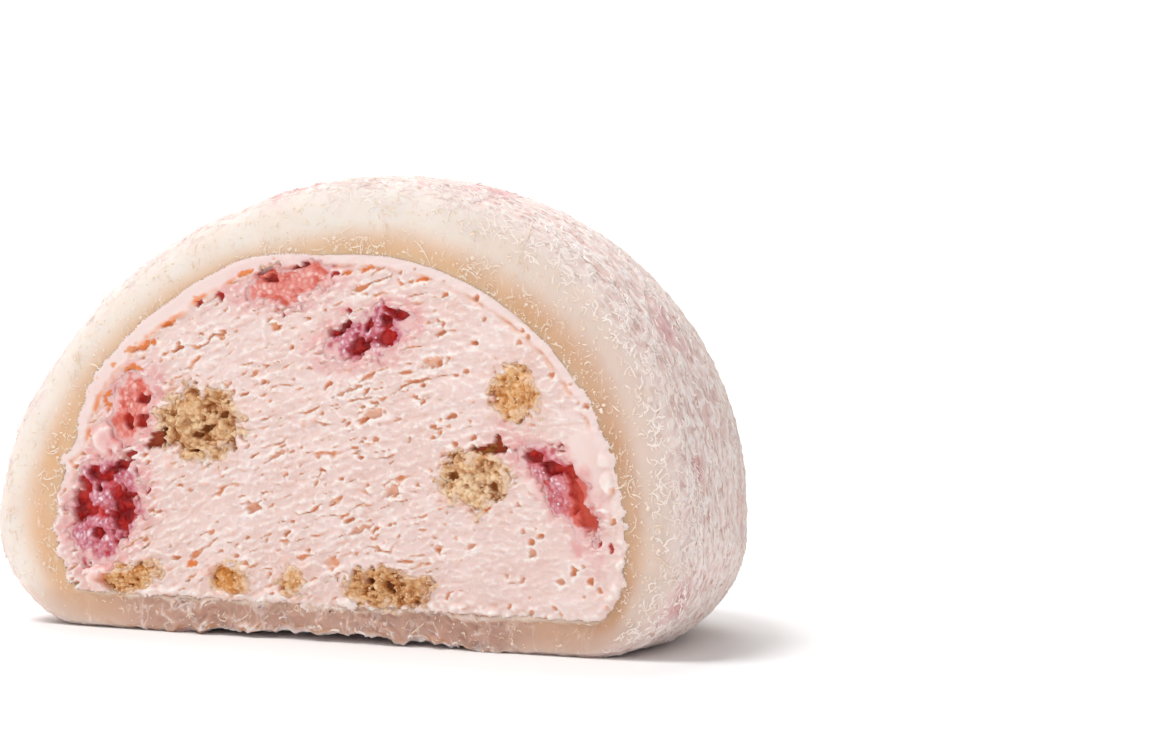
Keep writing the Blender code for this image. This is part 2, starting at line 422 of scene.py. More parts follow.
class Finish:
    """A material under construction, with the patterns and coats of colour that the finishes share."""

    def __init__(self, name):
        self.material = bpy.data.materials.new(name)
        self.material.use_nodes = True
        self.tree = self.material.node_tree
        self.add = functools.partial(add_node, self.tree)
        self.where = self.add("TexCoord", "Object")

    def kept(self, names):
        """The values that a mesh keeps at its points, by name."""
        return [self.add("Attribute", "Fac", attribute_name=name) for name in names.split()]

    def patches(self, size_mm, detail=2.0, stretch=(1.0, 1.0, 1.0), between=None):
        """Soft random patches that measure about size_mm. between is spread from 0 to 1."""
        scale = tuple(1.0 / (MM * size_mm * share) for share in stretch)
        place = self.add("Mapping", 0, {"Vector": self.where, "Scale": scale})
        made = self.add("TexNoise", 0, {"Vector": place, "Scale": 1.0, "Detail": detail})
        if between is None:
            return made
        return self.add("MapRange", 0, {"Value": made, "From Min": between[0], "From Max": between[1]})

    def hairlines(self, patches, count, width, broken):
        """Thin broken lines where patches cross each of count even levels, like the lines of a map."""
        away = patches
        for how, by in (("MULTIPLY", count), ("FRACT", 0.0), ("SUBTRACT", 0.5), ("ABSOLUTE", 0.0)):
            away = self.add("Math", 0, {0: away, 1: by}, operation=how)
        line = self.add("MapRange", 0, {"Value": away, "From Min": width, "From Max": 0.4 * width})
        return self.add("Math", 0, {0: line, 1: broken}, operation="MULTIPLY")

    def coats(self, colour, *coats):
        """A colour with others laid over it. A coat is its colour and the values that make up its share."""
        for coat, share, *others in coats:
            for other in others:
                share = self.add("Math", 0, {0: share, 1: other}, operation="MULTIPLY")
            colour = self.add("Mix", 2, {0: share, 6: colour, 7: coat}, data_type="RGBA")
        return colour

    def done(self, colour, roughness, reliefs=(), glow=None, **sockets):
        """Feeds the shader and gives the material. A relief is its height, depth in mm and strength. glow
        is how much light goes through the surface, how far its colours go, and what 1 is there in mm."""
        normal = None
        for height, depth_mm, strength in reliefs:
            links = {"Strength": strength, "Distance": depth_mm * MM, "Height": height}
            if normal is not None:
                links["Normal"] = normal
            normal = self.add("Bump", 0, links)
        sockets.update(Base_Color=colour, Roughness=roughness)
        if normal is not None:
            sockets["Normal"] = normal
        if glow is not None:
            weight, radius, reach_mm = glow
            sockets.update(
                Subsurface_Weight=weight, Subsurface_Radius=radius, Subsurface_Scale=reach_mm * MM
            )
        for key, value in sockets.items():
            feed(self.tree, self.tree.nodes["Principled BSDF"].inputs[key.replace("_", " ")], value)
        return self.material


def rice_dough_finish():
    """Steamed rice dough, cut with a knife: waxy and translucent where cut, dusted white outside."""
    f = Finish("steamed rice dough")
    skin, core, damp, stain, hollow, ridge, right, beneath, brown, behind = f.kept(
        "skin core damp stain hollow ridge right beneath brown behind"
    )
    cloud = f.patches(2.6, 3.0, between=(0.3, 0.7))
    scratch = f.patches(0.3, 2.0, (1.0, 3.0, 3.0), (0.64, 0.74))
    # Grains of rice flour, about 0.02 mm, are too fine to show, so they are drawn as clots.
    powder = f.patches(0.22, 3.0, between=(0.3, 0.72))
    broken = f.patches(0.9, 2.0, between=(0.36, 0.56))
    torn = f.hairlines(f.patches(3.0, 3.0, (0.5, 1.0, 1.0)), 3, 0.07, broken)
    curls = f.hairlines(f.patches(1.5, 1.0), 9, 0.2, broken)
    hooks = f.hairlines(f.patches(1.05, 1.5), 6, 0.16, broken)
    strokes = f.hairlines(f.patches(0.95, 1.5, (2.2, 0.65, 2.2)), 5, 0.15, broken)
    lines = f.add("Math", 0, {0: curls, 1: hooks}, operation="MAXIMUM")

    # Its #B9743C, by brown, is painted shade under the lifted, arched lower edge of the torn foot.
    wet = f.coats("#BD9181", ("#D5AD9E", cloud), ("#B9743C", brown))
    cut = f.coats(
        # Darker on the right: partly the dough's own tan, partly painted shade.
        f.coats("#F3E9E0", ("#E1CBBF", right)),
        (f.coats("#E6B68B", ("#D2A17D", right)), core),
        ("#EACEB8", cloud, 0.3),
        # Painted shade: darker towards the foot.
        ("#C8AC9B", beneath, 0.4),
        (wet, damp, 0.85),
        ("#F7ECE2", scratch, 0.4),
        ("#F3E2DC", torn, damp, 0.5),
        # Painted highlight on the crests of the foot's folds and along its collar.
        ("#F6E9E4", ridge, 0.8),
    )
    # Painted shade in the hollows of the wrinkles: #D9ABA0 near the cut, #CB9F8B behind.
    drawn = f.coats("#F8E2DC", ("#FFF4F0", powder), ("#D9ABA0", hollow, 0.55), ("#CDA097", strokes, 0.7))
    curly = f.coats("#DFC1B5", ("#EDDBD4", powder), ("#CB9F8B", hollow, 0.75), ("#F8F2F0", lines, 0.85))
    dusted = f.coats(drawn, (curly, behind), ("#D0898E", stain, 0.8))

    dry = f.add("MapRange", 0, {"Value": skin, "From Min": -2.0, "From Max": 1.4})
    wetness = f.add("Math", 0, {0: damp, 1: 0.25}, operation="MULTIPLY")
    roughness = f.add("Math", 0, {0: dry, 1: wetness}, operation="SUBTRACT")
    lifted = f.add("Math", 0, {0: lines, 1: behind}, operation="MULTIPLY")
    height = f.add("Math", 0, {0: lifted, 1: strokes}, operation="SUBTRACT")
    height = f.add("Math", 0, {0: height, 1: skin}, operation="MULTIPLY")
    grit = (f.patches(0.16), 0.03, 0.6)
    colour = f.coats(cut, (dusted, skin))
    wisps = (height, 0.07, 0.7)
    return f.done(colour, roughness, (grit, wisps), (0.45, (2.4, 1.5, 1.0), 0.6), IOR=1.4)


def ice_cream_finish():
    """Strawberry ice cream, cut hard: matt, airy and pale pink, with painted shade, salmon, in its torn pits
    and dips.
    """
    f = Finish("strawberry ice cream")
    # Ice crystals and air bubbles, about 0.05 mm, are too fine to show and are drawn coarser.
    grit = (f.patches(0.14), 0.025, 0.5)
    pit, lip, berry, band, rust, juice, dark = f.kept("pit lip berry band rust juice dark")
    colour = f.coats(
        "#ECCEC6",
        ("#F2DBD5", f.patches(2.2, 3.0, between=(0.3, 0.7))),
        ("#E6A09F", berry, 0.85),
        ("#F4DEDA", band, 0.7),
        # Painted highlight on lips, crests and the rolled edge.
        ("#FFF7F2", lip),
        # Painted shade, salmon and deeper orange, in pits, tears, the groove and dips.
        ("#F2C5AF", f.add("MapRange", 0, {"Value": pit, "From Max": 0.5})),
        ("#E79D74", f.add("MapRange", 0, {"Value": pit, "From Min": 0.45})),
        # rust and juice are stains, and also painted shade on the walls of the pockets.
        ("#EE8A45", rust),
        ("#C0291F", juice),
        # Painted shade in the caves.
        ("#9E3F1C", dark),
    )
    return f.done(colour, 0.55, (grit,), (0.3, (1.2, 0.6, 0.45), 0.22), IOR=1.38)


def frozen_strawberry_finish():
    """Frozen strawberry: glassy dark red flesh with a bloom of ice on it."""
    f = Finish("frozen strawberry")
    frost, deep, pale, veil = f.kept("frost deep pale veil")
    # The patches and the grit are as large as the cells of the fruit's flesh, about 0.1 to 0.3 mm.
    speckle = f.patches(0.3, 3.0, between=(0.35, 0.65))
    grit = (f.patches(0.12, 3.0), 0.04, 0.7)
    thick, some, rough = (
        f.add("MapRange", 0, {"Value": frost, "From Min": low, "From Max": high})
        for low, high in ((0.7, 0.95), (0.4, 0.95), (-0.4, 1.4))
    )
    flesh = f.coats("#C42019", ("#CE3A34", speckle), ("#800206", deep), ("#E4735C", pale))
    pale_ice = f.coats("#E8877A", ("#F6C3B6", some))
    # Frost is paler on the ice's knobs and darker in the creases: partly the ice's thickness, partly painted
    # highlight and painted shade.
    ice = f.coats("#BA728B", ("#E4BCC9", speckle), ("#F7E3E8", thick), (pale_ice, pale))
    return f.done(
        f.coats(flesh, (ice, frost), ("#EFC3C0", veil)),
        rough,
        (grit,),
        (0.25, (1.2, 0.25, 0.2), 0.5),
        IOR=1.36,
        Specular_IOR_Level=0.25,
        Coat_Weight=0.12,
        Coat_Roughness=0.12,
    )


def water_ice_finish():
    """Water ice, crushed by the knife: clear grains that look white with a pink cast from the fruit."""
    f = Finish("water ice")
    colour = f.coats("#E6BFC5", ("#F8EEEE", f.patches(0.5, between=(0.35, 0.65))))
    return f.done(colour, 0.25, glow=(0.5, (1.0, 0.8, 0.8), 0.4), IOR=1.31)


def baked_biscuit_finish():
    """Baked biscuit: dry sandy crumb, golden on its grains, with painted shade brown in the gaps and holes
    between them.
    """
    f = Finish("baked biscuit")
    hole, tone, soaked, toasted, veil = f.kept("hole tone soaked toasted veil")
    # Grains of flour and sugar, about 0.05 to 0.1 mm, are drawn a little coarser, so that they show.
    speckle = f.patches(0.12, 3.0, between=(0.36, 0.64))
    grit = (f.patches(0.1, 3.0), 0.05, 0.9)
    # hole holds painted shade in the gaps between grains, the hollows between clumps, the holes and the
    # caves.
    shaded = f.add("MapRange", 0, {"Value": hole, "From Min": 0.2, "From Max": 0.8})
    deepest = f.add("MapRange", 0, {"Value": hole, "From Min": 0.8})
    colour = f.coats(
        f.coats("#D99650", ("#B86B24", toasted)),
        # Lighter by tone: partly at random, partly painted highlight on the tops of the grains.
        (f.coats("#F9DAB2", ("#F0C592", toasted)), tone),
        (f.coats("#FAECD3", ("#F2D9B3", toasted)), speckle, 0.3),
        (f.coats("#DC8F3C", ("#F6C283", tone)), soaked, 0.7),
        (f.coats("#A5602A", ("#CC8034", soaked)), shaded),
        (f.coats("#B06C32", ("#6A300E", toasted)), deepest),
        ("#F7DCC6", veil),
    )
    return f.done(colour, 0.8, (grit,), (0.1, (0.8, 0.5, 0.3), 0.3), IOR=1.45)


def rice_flour_finish():
    """Rice flour caked into wisps: dry, matt and nearly white."""
    f = Finish("rice flour")
    tone = f.patches(2.0, 3.0, between=(0.35, 0.65))
    return f.done(f.coats("#F4E4DB", ("#FCF2EB", tone)), 0.8, IOR=1.4)


def dry_dough_finish():
    """Shreds of rice dough that dried on the cut: waxy and paler than the dough under them."""
    f = Finish("dried rice dough")
    tone = f.patches(1.2, 3.0, between=(0.35, 0.65))
    return f.done(f.coats("#EDD5BE", ("#F9EADB", tone)), 0.45, IOR=1.45)


# ---------------------------------------------------------------- the dough's shell

# How finely the shell is made: points in a loop, and loops across the cut, over its rim, along the
# flank as far as FLANK_DEPTH behind the cut, and round the back, where the tail's loops are the coarsest.
AROUND = 768
ANNULUS_LOOPS = 28
RIM_LOOPS = 12
FLANK_DEPTH = 8.0
FLANK_LOOPS = 32
BACK_LOOPS = 54
TAIL_LOOPS = 30

# Loops in the cavity near the cut and in the filling's back: depth behind the cut, and the share of
# the points that is kept, 1 in so many.
CAVITY_LOOPS = ((0.5 - CUT_Y, 2), (1.2, 1), (0.4, 1))
FILLING_LOOPS = ((0.35, 1), (0.9, 2), (1.8, 4))


def rim_radius(angle):
    """The rounding of the cut's rim: soft at the sides, tight along the foot."""
    return RIM_ROUND_SIDE + (RIM_ROUND_FOOT - RIM_ROUND_SIDE) * rise(-np.sin(angle), 0.15, 0.6)


def lift_arch(points):
    """Raises the underside where the foot arches at the cut."""
    x, y, z = points.T
    across = np.maximum(1.0 - (x / ARCH_HALF_WIDTH) ** 2, 0.0) ** 2
    along = fall(y, CUT_Y + RIM_ROUND_FOOT, CUT_Y + ARCH_DEPTH)
    low = np.maximum(1.0 - z / ARCH_FADE_HEIGHT, 0.0)
    return np.stack((x, y, z + ARCH_HEIGHT * across * along * low), axis=1)


def dough_form():
    """The plain shell. A mark is -1 in the cavity, 0 to 1 across the cut,
    1 to 2 over the rim, and 2 and more outside."""
    angles = DOUGH.even_angles(CUT_Y + RIM_ROUND_SIDE, AROUND)
    shell = Loft()
    shell.add(CAVITY.pole(), -1)
    for turn in np.linspace(0.93, 0.2, 9):
        shell.add(CAVITY.loop(CAVITY.half_depth * math.sin(turn * math.pi / 2), angles[::4]), -1)
    for depth, thin in CAVITY_LOOPS:
        shell.add(CAVITY.loop(CUT_Y + depth, angles[::thin]), -1)
    radius = rim_radius(angles)
    inner = CAVITY.loop(CUT_Y, angles)
    outer = DOUGH.loop(CUT_Y, angles, radius)
    for share in np.linspace(0.0, 1.0, ANNULUS_LOOPS + 1):
        shell.add(lift_arch(inner + (outer - inner) * share), share)
    for step in range(1, RIM_LOOPS + 1):
        turn = math.pi / 2 * step / RIM_LOOPS
        y = CUT_Y + radius * (1.0 - math.cos(turn))
        shell.add(lift_arch(DOUGH.loop(y, angles, radius * (1.0 - math.sin(turn)))), 1.0 + step / RIM_LOOPS)
    start, end = CUT_Y + radius, CUT_Y + FLANK_DEPTH
    for step in range(1, FLANK_LOOPS + 1):
        share = step / FLANK_LOOPS
        shell.add(lift_arch(DOUGH.loop(start + (end - start) * share, angles)), 2.0 + share)
    first = math.asin(end / DOUGH.half_depth)
    loops = BACK_LOOPS + TAIL_LOOPS
    for step in range(1, loops):
        turn = first + (math.pi / 2 - first) * step / loops
        thin = 2 if step < BACK_LOOPS else 4
        shell.add(lift_arch(DOUGH.loop(DOUGH.half_depth * math.sin(turn), angles[::thin])), 4)
    shell.add(DOUGH.pole(), 4)
    return shell


@dataclass(frozen=True)
class Skin:
    """The dough's finished surface, with the mean mark and place of each triangle."""

    points: np.ndarray
    triangles: np.ndarray
    marks: np.ndarray
    middles: np.ndarray


def make_dough(material):
    """The shell with the relief of its cut, its torn foot and its floured skin."""
    form = dough_form()
    points, triangles, mark = form.result()
    x, y, z = points.T
    grain, other = Grain(11), Grain(12)
    outside = rise(mark, 1.05, 1.95)
    front = (mark >= 0.0) & (mark <= 2.0)
    behind = rise(y - CUT_Y, 6.0, 14.0)

    # Wrinkles in the floured skin: drawn out along the rim near the cut, curly further back.
    warp = 0.35 * other.push(points / 1.1, 5.0)
    drawn = grain.ridged(points * np.array((1 / 1.5, 1 / 0.55, 1 / 1.5)) + warp)
    curly = grain.ridged(points / 0.95 + 1.6 * warp)
    wrinkle = drawn * (1.0 - behind) + curly * behind
    swell = other.layered(points / 5.0, 2)
    lift = outside * (0.20 * (wrinkle - 0.45) + 0.10 * swell)

    # The cut: gentle waves of the knife, and crumpled folds along the torn foot.
    low = np.where(front, rise(-z, -2.5, -1.7), 0.0)
    band = low * fall(np.abs(x - 0.5), 9.5, 14.5)
    cut = rise(mark, 0.0, 0.06) * fall(mark, 1.2, 2.0) * (mark >= 0)
    crease = points * np.array((1 / 2.6, 1 / 2.6, 1 / 1.9)) + 20.0 + 0.3 * other.push(points / 1.3, 9.0)
    folds = grain.ridged(crease)
    tatters = np.clip(0.5 + grain.layered(points / 0.8 + 50.0), 0.0, 1.3)
    collar = np.where(front, fall(mark, 0.05, 0.06 + 0.2 * tatters), 0.0)
    lift += cut * (0.05 * other.layered(points / 2.2) + 0.015 * grain.smooth(points / 0.4))
    lift += band * cut * (0.50 * (folds - 0.45) + 0.03 * grain.layered(points / 0.6 + 70.0, 2))
    lift += low * collar * 0.30 * tatters
    crests = other.ridged(points * np.array((1 / 2.4, 1 / 2.4, 1 / 0.9)) + 1.5 * warp + 30.0, 1)
    lift += band * cut * 0.14 * rise(crests, 0.85, 1.0)
    lift = np.where(mark < 0, 0.0, lift)
    moved = points + point_normals(points, triangles) * lift[:, None]
    moved[:, 2] += band * 0.30 * grain.layered(points / np.array((1.3, 2.0, 9.0)) + 40.0)
    at_least(moved[:, 2], 0.0)

    # The core's tan ring reaches further out at the sides and towards the foot.
    wider = 0.45 * fall(z, 0.5, 5.0)
    at_least(wider, 0.2 * rise(-x, 1.0, 10.0) + 0.12 * rise(x, 10.0, 18.0))
    # Crests of the folds, where a highlight is painted.
    ridge = np.maximum(rise(folds, 0.8, 0.97), rise(crests, 0.9, 0.99) * rise(tatters, 0.3, 0.6))
    stain = rise(other.layered(points / 6.0 + 60.0, 3, 0.4), 0.28, 0.9)
    fields = {
        "skin": outside,
        "core": np.where(front, fall(mark + 0.06 * swell - wider, 0.10, 0.86), 0.0),
        "behind": behind,
        "damp": low * (1.0 - 0.75 * rise(np.abs(x + 0.5), 11.0, 15.0)),
        # Painted shade towards the foot, where the dough meets the floor.
        "beneath": fall(z, 0.3, 3.4),
        "ridge": band * ridge + 0.5 * low * collar,
        # Painted shade under the lifted lower edge of the torn foot, away from the right.
        "brown": low * rise(mark + 0.3 * tatters, 1.15, 1.45) * fall(x, 6.0, 14.0),
        # Darker towards the right: partly the dough's own tan, partly painted shade.
        "right": rise(x - 0.35 * (z - DOUGH.waist_z), -2.0, 16.0),
        "stain": outside * stain * (1.0 - 0.45 * behind),
        # Painted shade in the hollows of the wrinkles.
        "hollow": outside * fall(wrinkle, 0.15, 0.6),
    }
    bake_map = form.bake_map(triangles)
    piece = make_piece("dough_shell", moved, triangles, material, "rice_dough", fields, bake_map)
    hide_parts("dough_skin")
    return Skin(moved, triangles, mark[triangles].mean(axis=1), moved[triangles].mean(axis=1))


# ---------------------------------------------------------------- the filling


def oval(x, z, centre_x, centre_z, half_length, half_height, tilt, bow=0.0):
    """How far points of the cut are from the middle of a tilted, bowed oval: 1 at its edge."""
    along, across = turned(x - centre_x, z - centre_z, math.radians(tilt))
    across = across + bow * (along / half_length) ** 2
    return np.hypot(along / half_length, across / half_height)


@dataclass(frozen=True)
class Lump:
    """A piece of fruit or biscuit, as it shows on the cut."""

    name: str
    x: float
    z: float
    half_length: float
    half_height: float
    tilt: float
    seed: int
    fineness: int = 6
    bow: float = 0.0
    ragged: float = 0.18

    def half_mean(self):
        """Half of the lump's mean size, which is also half its depth."""
        return (self.half_length + self.half_height) / 2

    def bend(self):
        """How far the lump's edge bends in and out, in mm."""
        return 0.12 + 0.22 * self.half_mean()

    def away(self, x, z):
        """How far points of the cut are outside the lump's uneven edge, in mm, less than 0 inside it."""
        grain = Grain(self.seed + 60)
        bend_x, bend_z = (self.bend() * grain.on_cut(x, z, 1.5, depth, 3, 0.65) for depth in (1.0, 5.0))
        fray = self.ragged * grain.on_cut(x, z, 0.6, 8.0, 3, 0.6)
        place = (self.x, self.z, self.half_length, self.half_height, self.tilt, self.bow)
        return (oval(x + bend_x + fray, z + bend_z - fray, *place) - 1.0) * self.half_mean()


STRAWBERRIES = (
    Lump("strawberry_left_low", -14.5, 7.1, 3.4, 2.25, 66, 31),
    Lump("strawberry_left_high", -12.75, 12.8, 2.1, 1.4, 58, 32),
    Lump("strawberry_top", -2.4, 20.4, 3.2, 1.1, 10, 33),
    Lump("strawberry_centre", 2.75, 17.65, 2.9, 1.35, 18, 34),
    Lump("strawberry_right", 15.2, 9.75, 3.5, 1.25, -48, 35, bow=0.8),
)
BISCUITS = (
    Lump("biscuit_left", -8.25, 12.2, 2.95, 2.1, 6, 41, ragged=0.3),
    Lump("biscuit_right_high", 12.1, 14.6, 1.5, 1.6, 0, 42, ragged=0.4),
    Lump("biscuit_right_low", 9.6, 9.75, 2.3, 1.65, 14, 43, ragged=0.32),
    Lump("biscuit_foot_far_left", -12.9, 3.1, 2.0, 0.85, 6, 44),
    Lump("biscuit_foot_left", -6.4, 3.25, 1.25, 1.0, 0, 45, 5),
    Lump("biscuit_foot_middle", -2.3, 3.3, 0.8, 0.95, 0, 46, 5),
    Lump("biscuit_foot_right", 3.9, 3.3, 2.85, 1.1, 0, 47),
)

FACE_SPACING = 0.088
OUTLINE_POINTS = 1024
POCKET_DEPTH = 1.3
CAVE_DEPTH = 0.45
SMALL_PITS = 420

# The smooth band of ice cream under the dough, and how far it laps over the dough at the upper left.
BAND_WIDTH = 0.72
BAND_LAP = 0.85

# The next tables give places on the cut: x from the ball's axis to the right, and z above the floor.
# Larger pits in the ice cream: x, z, length, height, depth.
LARGE_PITS = (
    (-4.8, 7.5, 1.1, 0.7, 0.40),
    (4.3, 8.9, 0.9, 0.75, 0.38),
    (3.1, 13.2, 1.8, 0.6, 0.24),
    (1.6, 14.5, 2.4, 0.26, 0.25),
    (-3.1, 10.6, 1.8, 0.3, 0.25),
    (2.3, 6.6, 2.2, 0.35, 0.28),
    (7.0, 16.3, 1.7, 0.6, 0.22),
    (13.2, 5.8, 0.5, 0.55, 0.30),
    (15.0, 4.2, 0.6, 0.45, 0.30),
    (12.6, 4.2, 0.4, 0.3, 0.24),
    (9.4, 6.0, 1.0, 0.35, 0.22),
)

# Holes with red flesh in them, and holes stained orange by juice: x, z, length, height, depth.
RED_HOLES = (
    (-11.65, 8.2, 0.6, 0.4, 0.30),
    (-14.95, 4.7, 0.85, 0.75, 0.25),
    (-15.8, 3.65, 0.75, 0.6, 0.30),
    (-12.35, 12.65, 0.35, 0.4, 0.25),
    (-11.15, 12.85, 0.4, 0.4, 0.25),
    (15.0, 11.75, 0.5, 0.6, 0.35),
    (17.15, 6.7, 0.6, 1.0, 0.25),
    (18.15, 6.3, 0.3, 0.9, 0.15),
    (-6.8, 19.55, 0.6, 0.6, 0.30),
    (-8.1, 19.1, 0.6, 0.35, 0.25),
    (-2.5, 20.0, 0.9, 0.3, 0.20),
    (-2.6, 18.6, 0.25, 0.3, 0.20),
    (0.7, 21.1, 0.9, 0.25, 0.20),
    (1.6, 19.0, 0.5, 0.35, 0.25),
    (0.6, 17.3, 0.4, 0.4, 0.25),
)
RUSTY_HOLES = (
    (-12.65, 15.1, 1.5, 0.8, 0.15),
    (-14.15, 13.3, 1.0, 1.3, 0.15),
    (-11.7, 16.6, 1.9, 0.45, 0.15),
    (-10.2, 17.9, 1.1, 0.25, 0.15),
    (-9.3, 11.2, 0.5, 0.4, 0.20),
    (-8.75, 4.15, 0.8, 0.6, 0.12),
    (10.3, 8.2, 0.6, 0.7, 0.12),
    (-5.0, 21.0, 1.5, 0.3, 0.10),
    (1.5, 21.2, 0.9, 0.3, 0.15),
    (2.8, 21.45, 1.1, 0.3, 0.12),
    (6.3, 20.9, 0.9, 0.25, 0.12),
)

# Caves that open beside the biscuit, painted dark as shade: x, z, half length, half height, tilt.
CAVES = (
    (-11.0, 11.2, 0.75, 0.45, 35.0),
    (10.5, 11.45, 1.3, 0.24, 3.0),
    (11.0, 11.9, 0.28, 0.5, 0.0),
    (-6.55, 12.75, 0.4, 0.17, 25.0),
    (-7.7, 11.95, 0.5, 0.2, 20.0),
    (-8.3, 11.55, 0.3, 0.22, 0.0),
    (4.2, 3.35, 0.45, 0.25, -50.0),
    (2.9, 3.6, 0.25, 0.2, 0.0),
    (8.15, 9.9, 0.3, 0.25, 0.0),
    (10.75, 9.45, 0.25, 0.3, 0.0),
)

# Smooth bulges: x, z, length, height, rise.
BULGES = (
    (-14.2, 11.0, 2.4, 1.9, 0.30),
    (-14.9, 2.9, 2.0, 1.5, 0.25),
    (16.6, 10.9, 2.6, 4.6, 0.08),
    (17.65, 11.2, 0.8, 0.9, 0.18),
    (17.85, 10.0, 0.9, 1.3, 0.20),
    (13.9, 9.5, 2.4, 1.5, 0.12),
)


def flow_angle(x):
    """The direction that the knife dragged the ice cream, steeper at the left."""
    return np.radians(19.0 - 0.35 * x)


def roundness(x):
    """How round pits are, 0 to 1: drawn out at the left, round at the right."""
    return rise(x, 5.0, 12.0)


def crest(value, middle, width):
    """1 at middle, and less on both sides of it."""
    return np.exp(-(((value - middle) / width) ** 2))


def caves(x, z):
    """How far points of the cut lie within a cave, 0 to 1."""
    uneven = 0.5 * Grain(27).on_cut(x, z, 0.5)
    deep = np.zeros_like(x)
    for cave in CAVES:
        at_least(deep, fall(oval(x, z, *cave) + uneven, 0.7, 1.2))
    return deep


class Face:
    """The height of the ice cream's cut at points of the cut plane, and the values its finish needs."""

    # pit holds painted shade, and lip painted highlight.
    KEPT = ("pit", "lip", "berry", "band", "rust", "juice", "dark")

    def __init__(self, x, z, edge_distance):
        self.x, self.z, self.edge = x, z, edge_distance
        self.height, self.pit, self.lip, self.berry = np.zeros((4, len(x)))
        self.grain, self.other = Grain(21), Grain(22)
        bend = 0.10
        self.warp_x = x + bend * self.grain.on_cut(x, z, 0.45, 3.0, 1)
        self.warp_z = z + bend * self.grain.on_cut(x, z, 0.45, 9.0, 1)
        self.along, self.across = turned(x, z, flow_angle(x))

        # The smooth band runs along the upper edge and is wider at the upper left.
        self.top = rise(z + 0.25 * np.abs(x), 10.0, 15.0)
        self.wide = upper_left(np.arctan2(z - CAVITY.waist_z, x - CAVITY.centre_x))
        self.inner_edge = BAND_WIDTH + 0.25 * self.wide
        self.band = fall(self.edge - self.inner_edge, -0.17, 0.03) * self.top

        # The face is calm in the band, and calmer than elsewhere in the lower right corner.
        corner = rise(x, 9.0, 15.0) * rise(-z, -9.0, -4.0)
        self.calm = np.clip(0.65 * corner + self.band, 0.0, 1.0)

    def tears(self, spacing, depth, seed, closed):
        """Rows of tears that the knife dragged open: sharp at their upper edge, with a lip below."""
        grain = Grain(seed)
        spots = flat(self.along / 2.0, self.across / 1.0, seed)
        climb = 0.55 * self.other.layered(spots) - self.across / spacing
        row = np.floor(climb)
        below = climb - row
        openness = grain.layered(flat(self.along / (2.4 * spacing) + 0.37 * row, row * 5.3, 1.0), 3, 0.6)
        opened = (1.0 - self.calm) * rise(openness - 0.5 * roundness(self.x), closed, closed + 0.5)
        width = 0.08 + 0.26 * opened * np.clip(0.7 + grain.smooth(spots * 2.0), 0.2, 1.4)
        hollow = opened * fall(below, 0.45 * width, width)
        lip = opened * crest(below - width, 0.08, 0.09)
        self.height += depth * (0.35 * lip - hollow)
        self.height += (1.0 - self.calm) * 0.30 * depth * (below - 0.5)
        # The tears' hollows take painted shade.
        at_least(self.pit, hollow)
        # Painted highlight on the tears' lips.
        at_least(self.lip, 0.5 * lip)

    def stamp(self, cx, cz, length, height, depth, turn):
        """One pit: steep at its upper edge, with a raised lip below. Gives its points and its hollow."""
        near = np.flatnonzero((np.abs(self.x - cx) < length) & (np.abs(self.z - cz) < length))
        dx, dz = self.warp_x[near] - cx, self.warp_z[near] - cz
        a, b = turned(dx, dz, turn)
        a, b = a / (length / 2), b / (height / 2)
        b = b + 0.35 * a * a
        away = np.sqrt(a * a + b * b)
        away = away + 0.5 * self.other.smooth(flat(dx / 0.26 + cx, dz / 0.26 + cz, 4.0))
        hollow = fall(away, 0.55 - 0.25 * np.clip(b, -1, 0), 1.0)
        lip = crest(away, 1.3, 0.28) * rise(-b, 0.1, 0.8)
        self.height[near] -= depth * hollow
        self.height[near] += 0.25 * depth * lip
        # Painted highlight on the pit's lip.
        self.lip[near] = np.maximum(self.lip[near], 0.6 * lip)
        return near, hollow

    def bulge(self, cx, cz, length, height, rising):
        """One smooth bulge, over whatever roughness is there."""
        away = np.hypot((self.warp_x - cx) / (length / 2), (self.warp_z - cz) / (height / 2))
        over = fall(away, 0.7, 1.1)
        self.height += over * (rising * np.sqrt(np.clip(1.2 - away * away, 0.0, 1.0)) - self.height)
        self.pit *= 1.0 - over
        self.lip *= 1.0 - over

    def roughen(self):
        """Flakes, tears and pits all over the ice cream."""
        self.height += 0.12 * self.grain.layered(flat(self.along / 3.2, self.across / 1.8), 2)
        flakes = flat(self.along / 1.1, self.across / 0.62)
        self.height += 0.15 * (self.other.ridged(flakes, 3) - 0.5) * (1.0 - 0.6 * self.calm)
        self.height += 0.03 * self.other.layered(flakes * 2.7, 2)
        self.tears(spacing=0.85, depth=0.17, seed=24, closed=0.16)
        self.tears(spacing=0.46, depth=0.11, seed=25, closed=0.08)
        random = np.random.default_rng(5)
        # Each pit's hollow takes painted shade.
        for cx, cz, length, height, depth in LARGE_PITS:
            turn = float(flow_angle(cx)) + random.normal(0.0, 0.12)
            near, hollow = self.stamp(cx, cz, length, height, depth, turn)
            self.pit[near] = np.maximum(self.pit[near], 0.55 * hollow)
        for _ in range(SMALL_PITS):
            cx, cz = random.uniform(-19.0, 20.0), random.uniform(1.5, 23.0)
            size = random.lognormal(0.0, 0.4)
            rounder = float(roundness(cx))
            turn = float(flow_angle(cx)) + random.normal(0.0, 0.25 + 0.6 * rounder)
            height = 0.2 * size**0.6 * (1.0 + 0.6 * rounder)
            near, hollow = self.stamp(cx, cz, 0.34 * size, height, 0.15 * size, turn)
            self.pit[near] = np.maximum(self.pit[near], hollow * min(1.0, 0.4 + 0.4 * size))

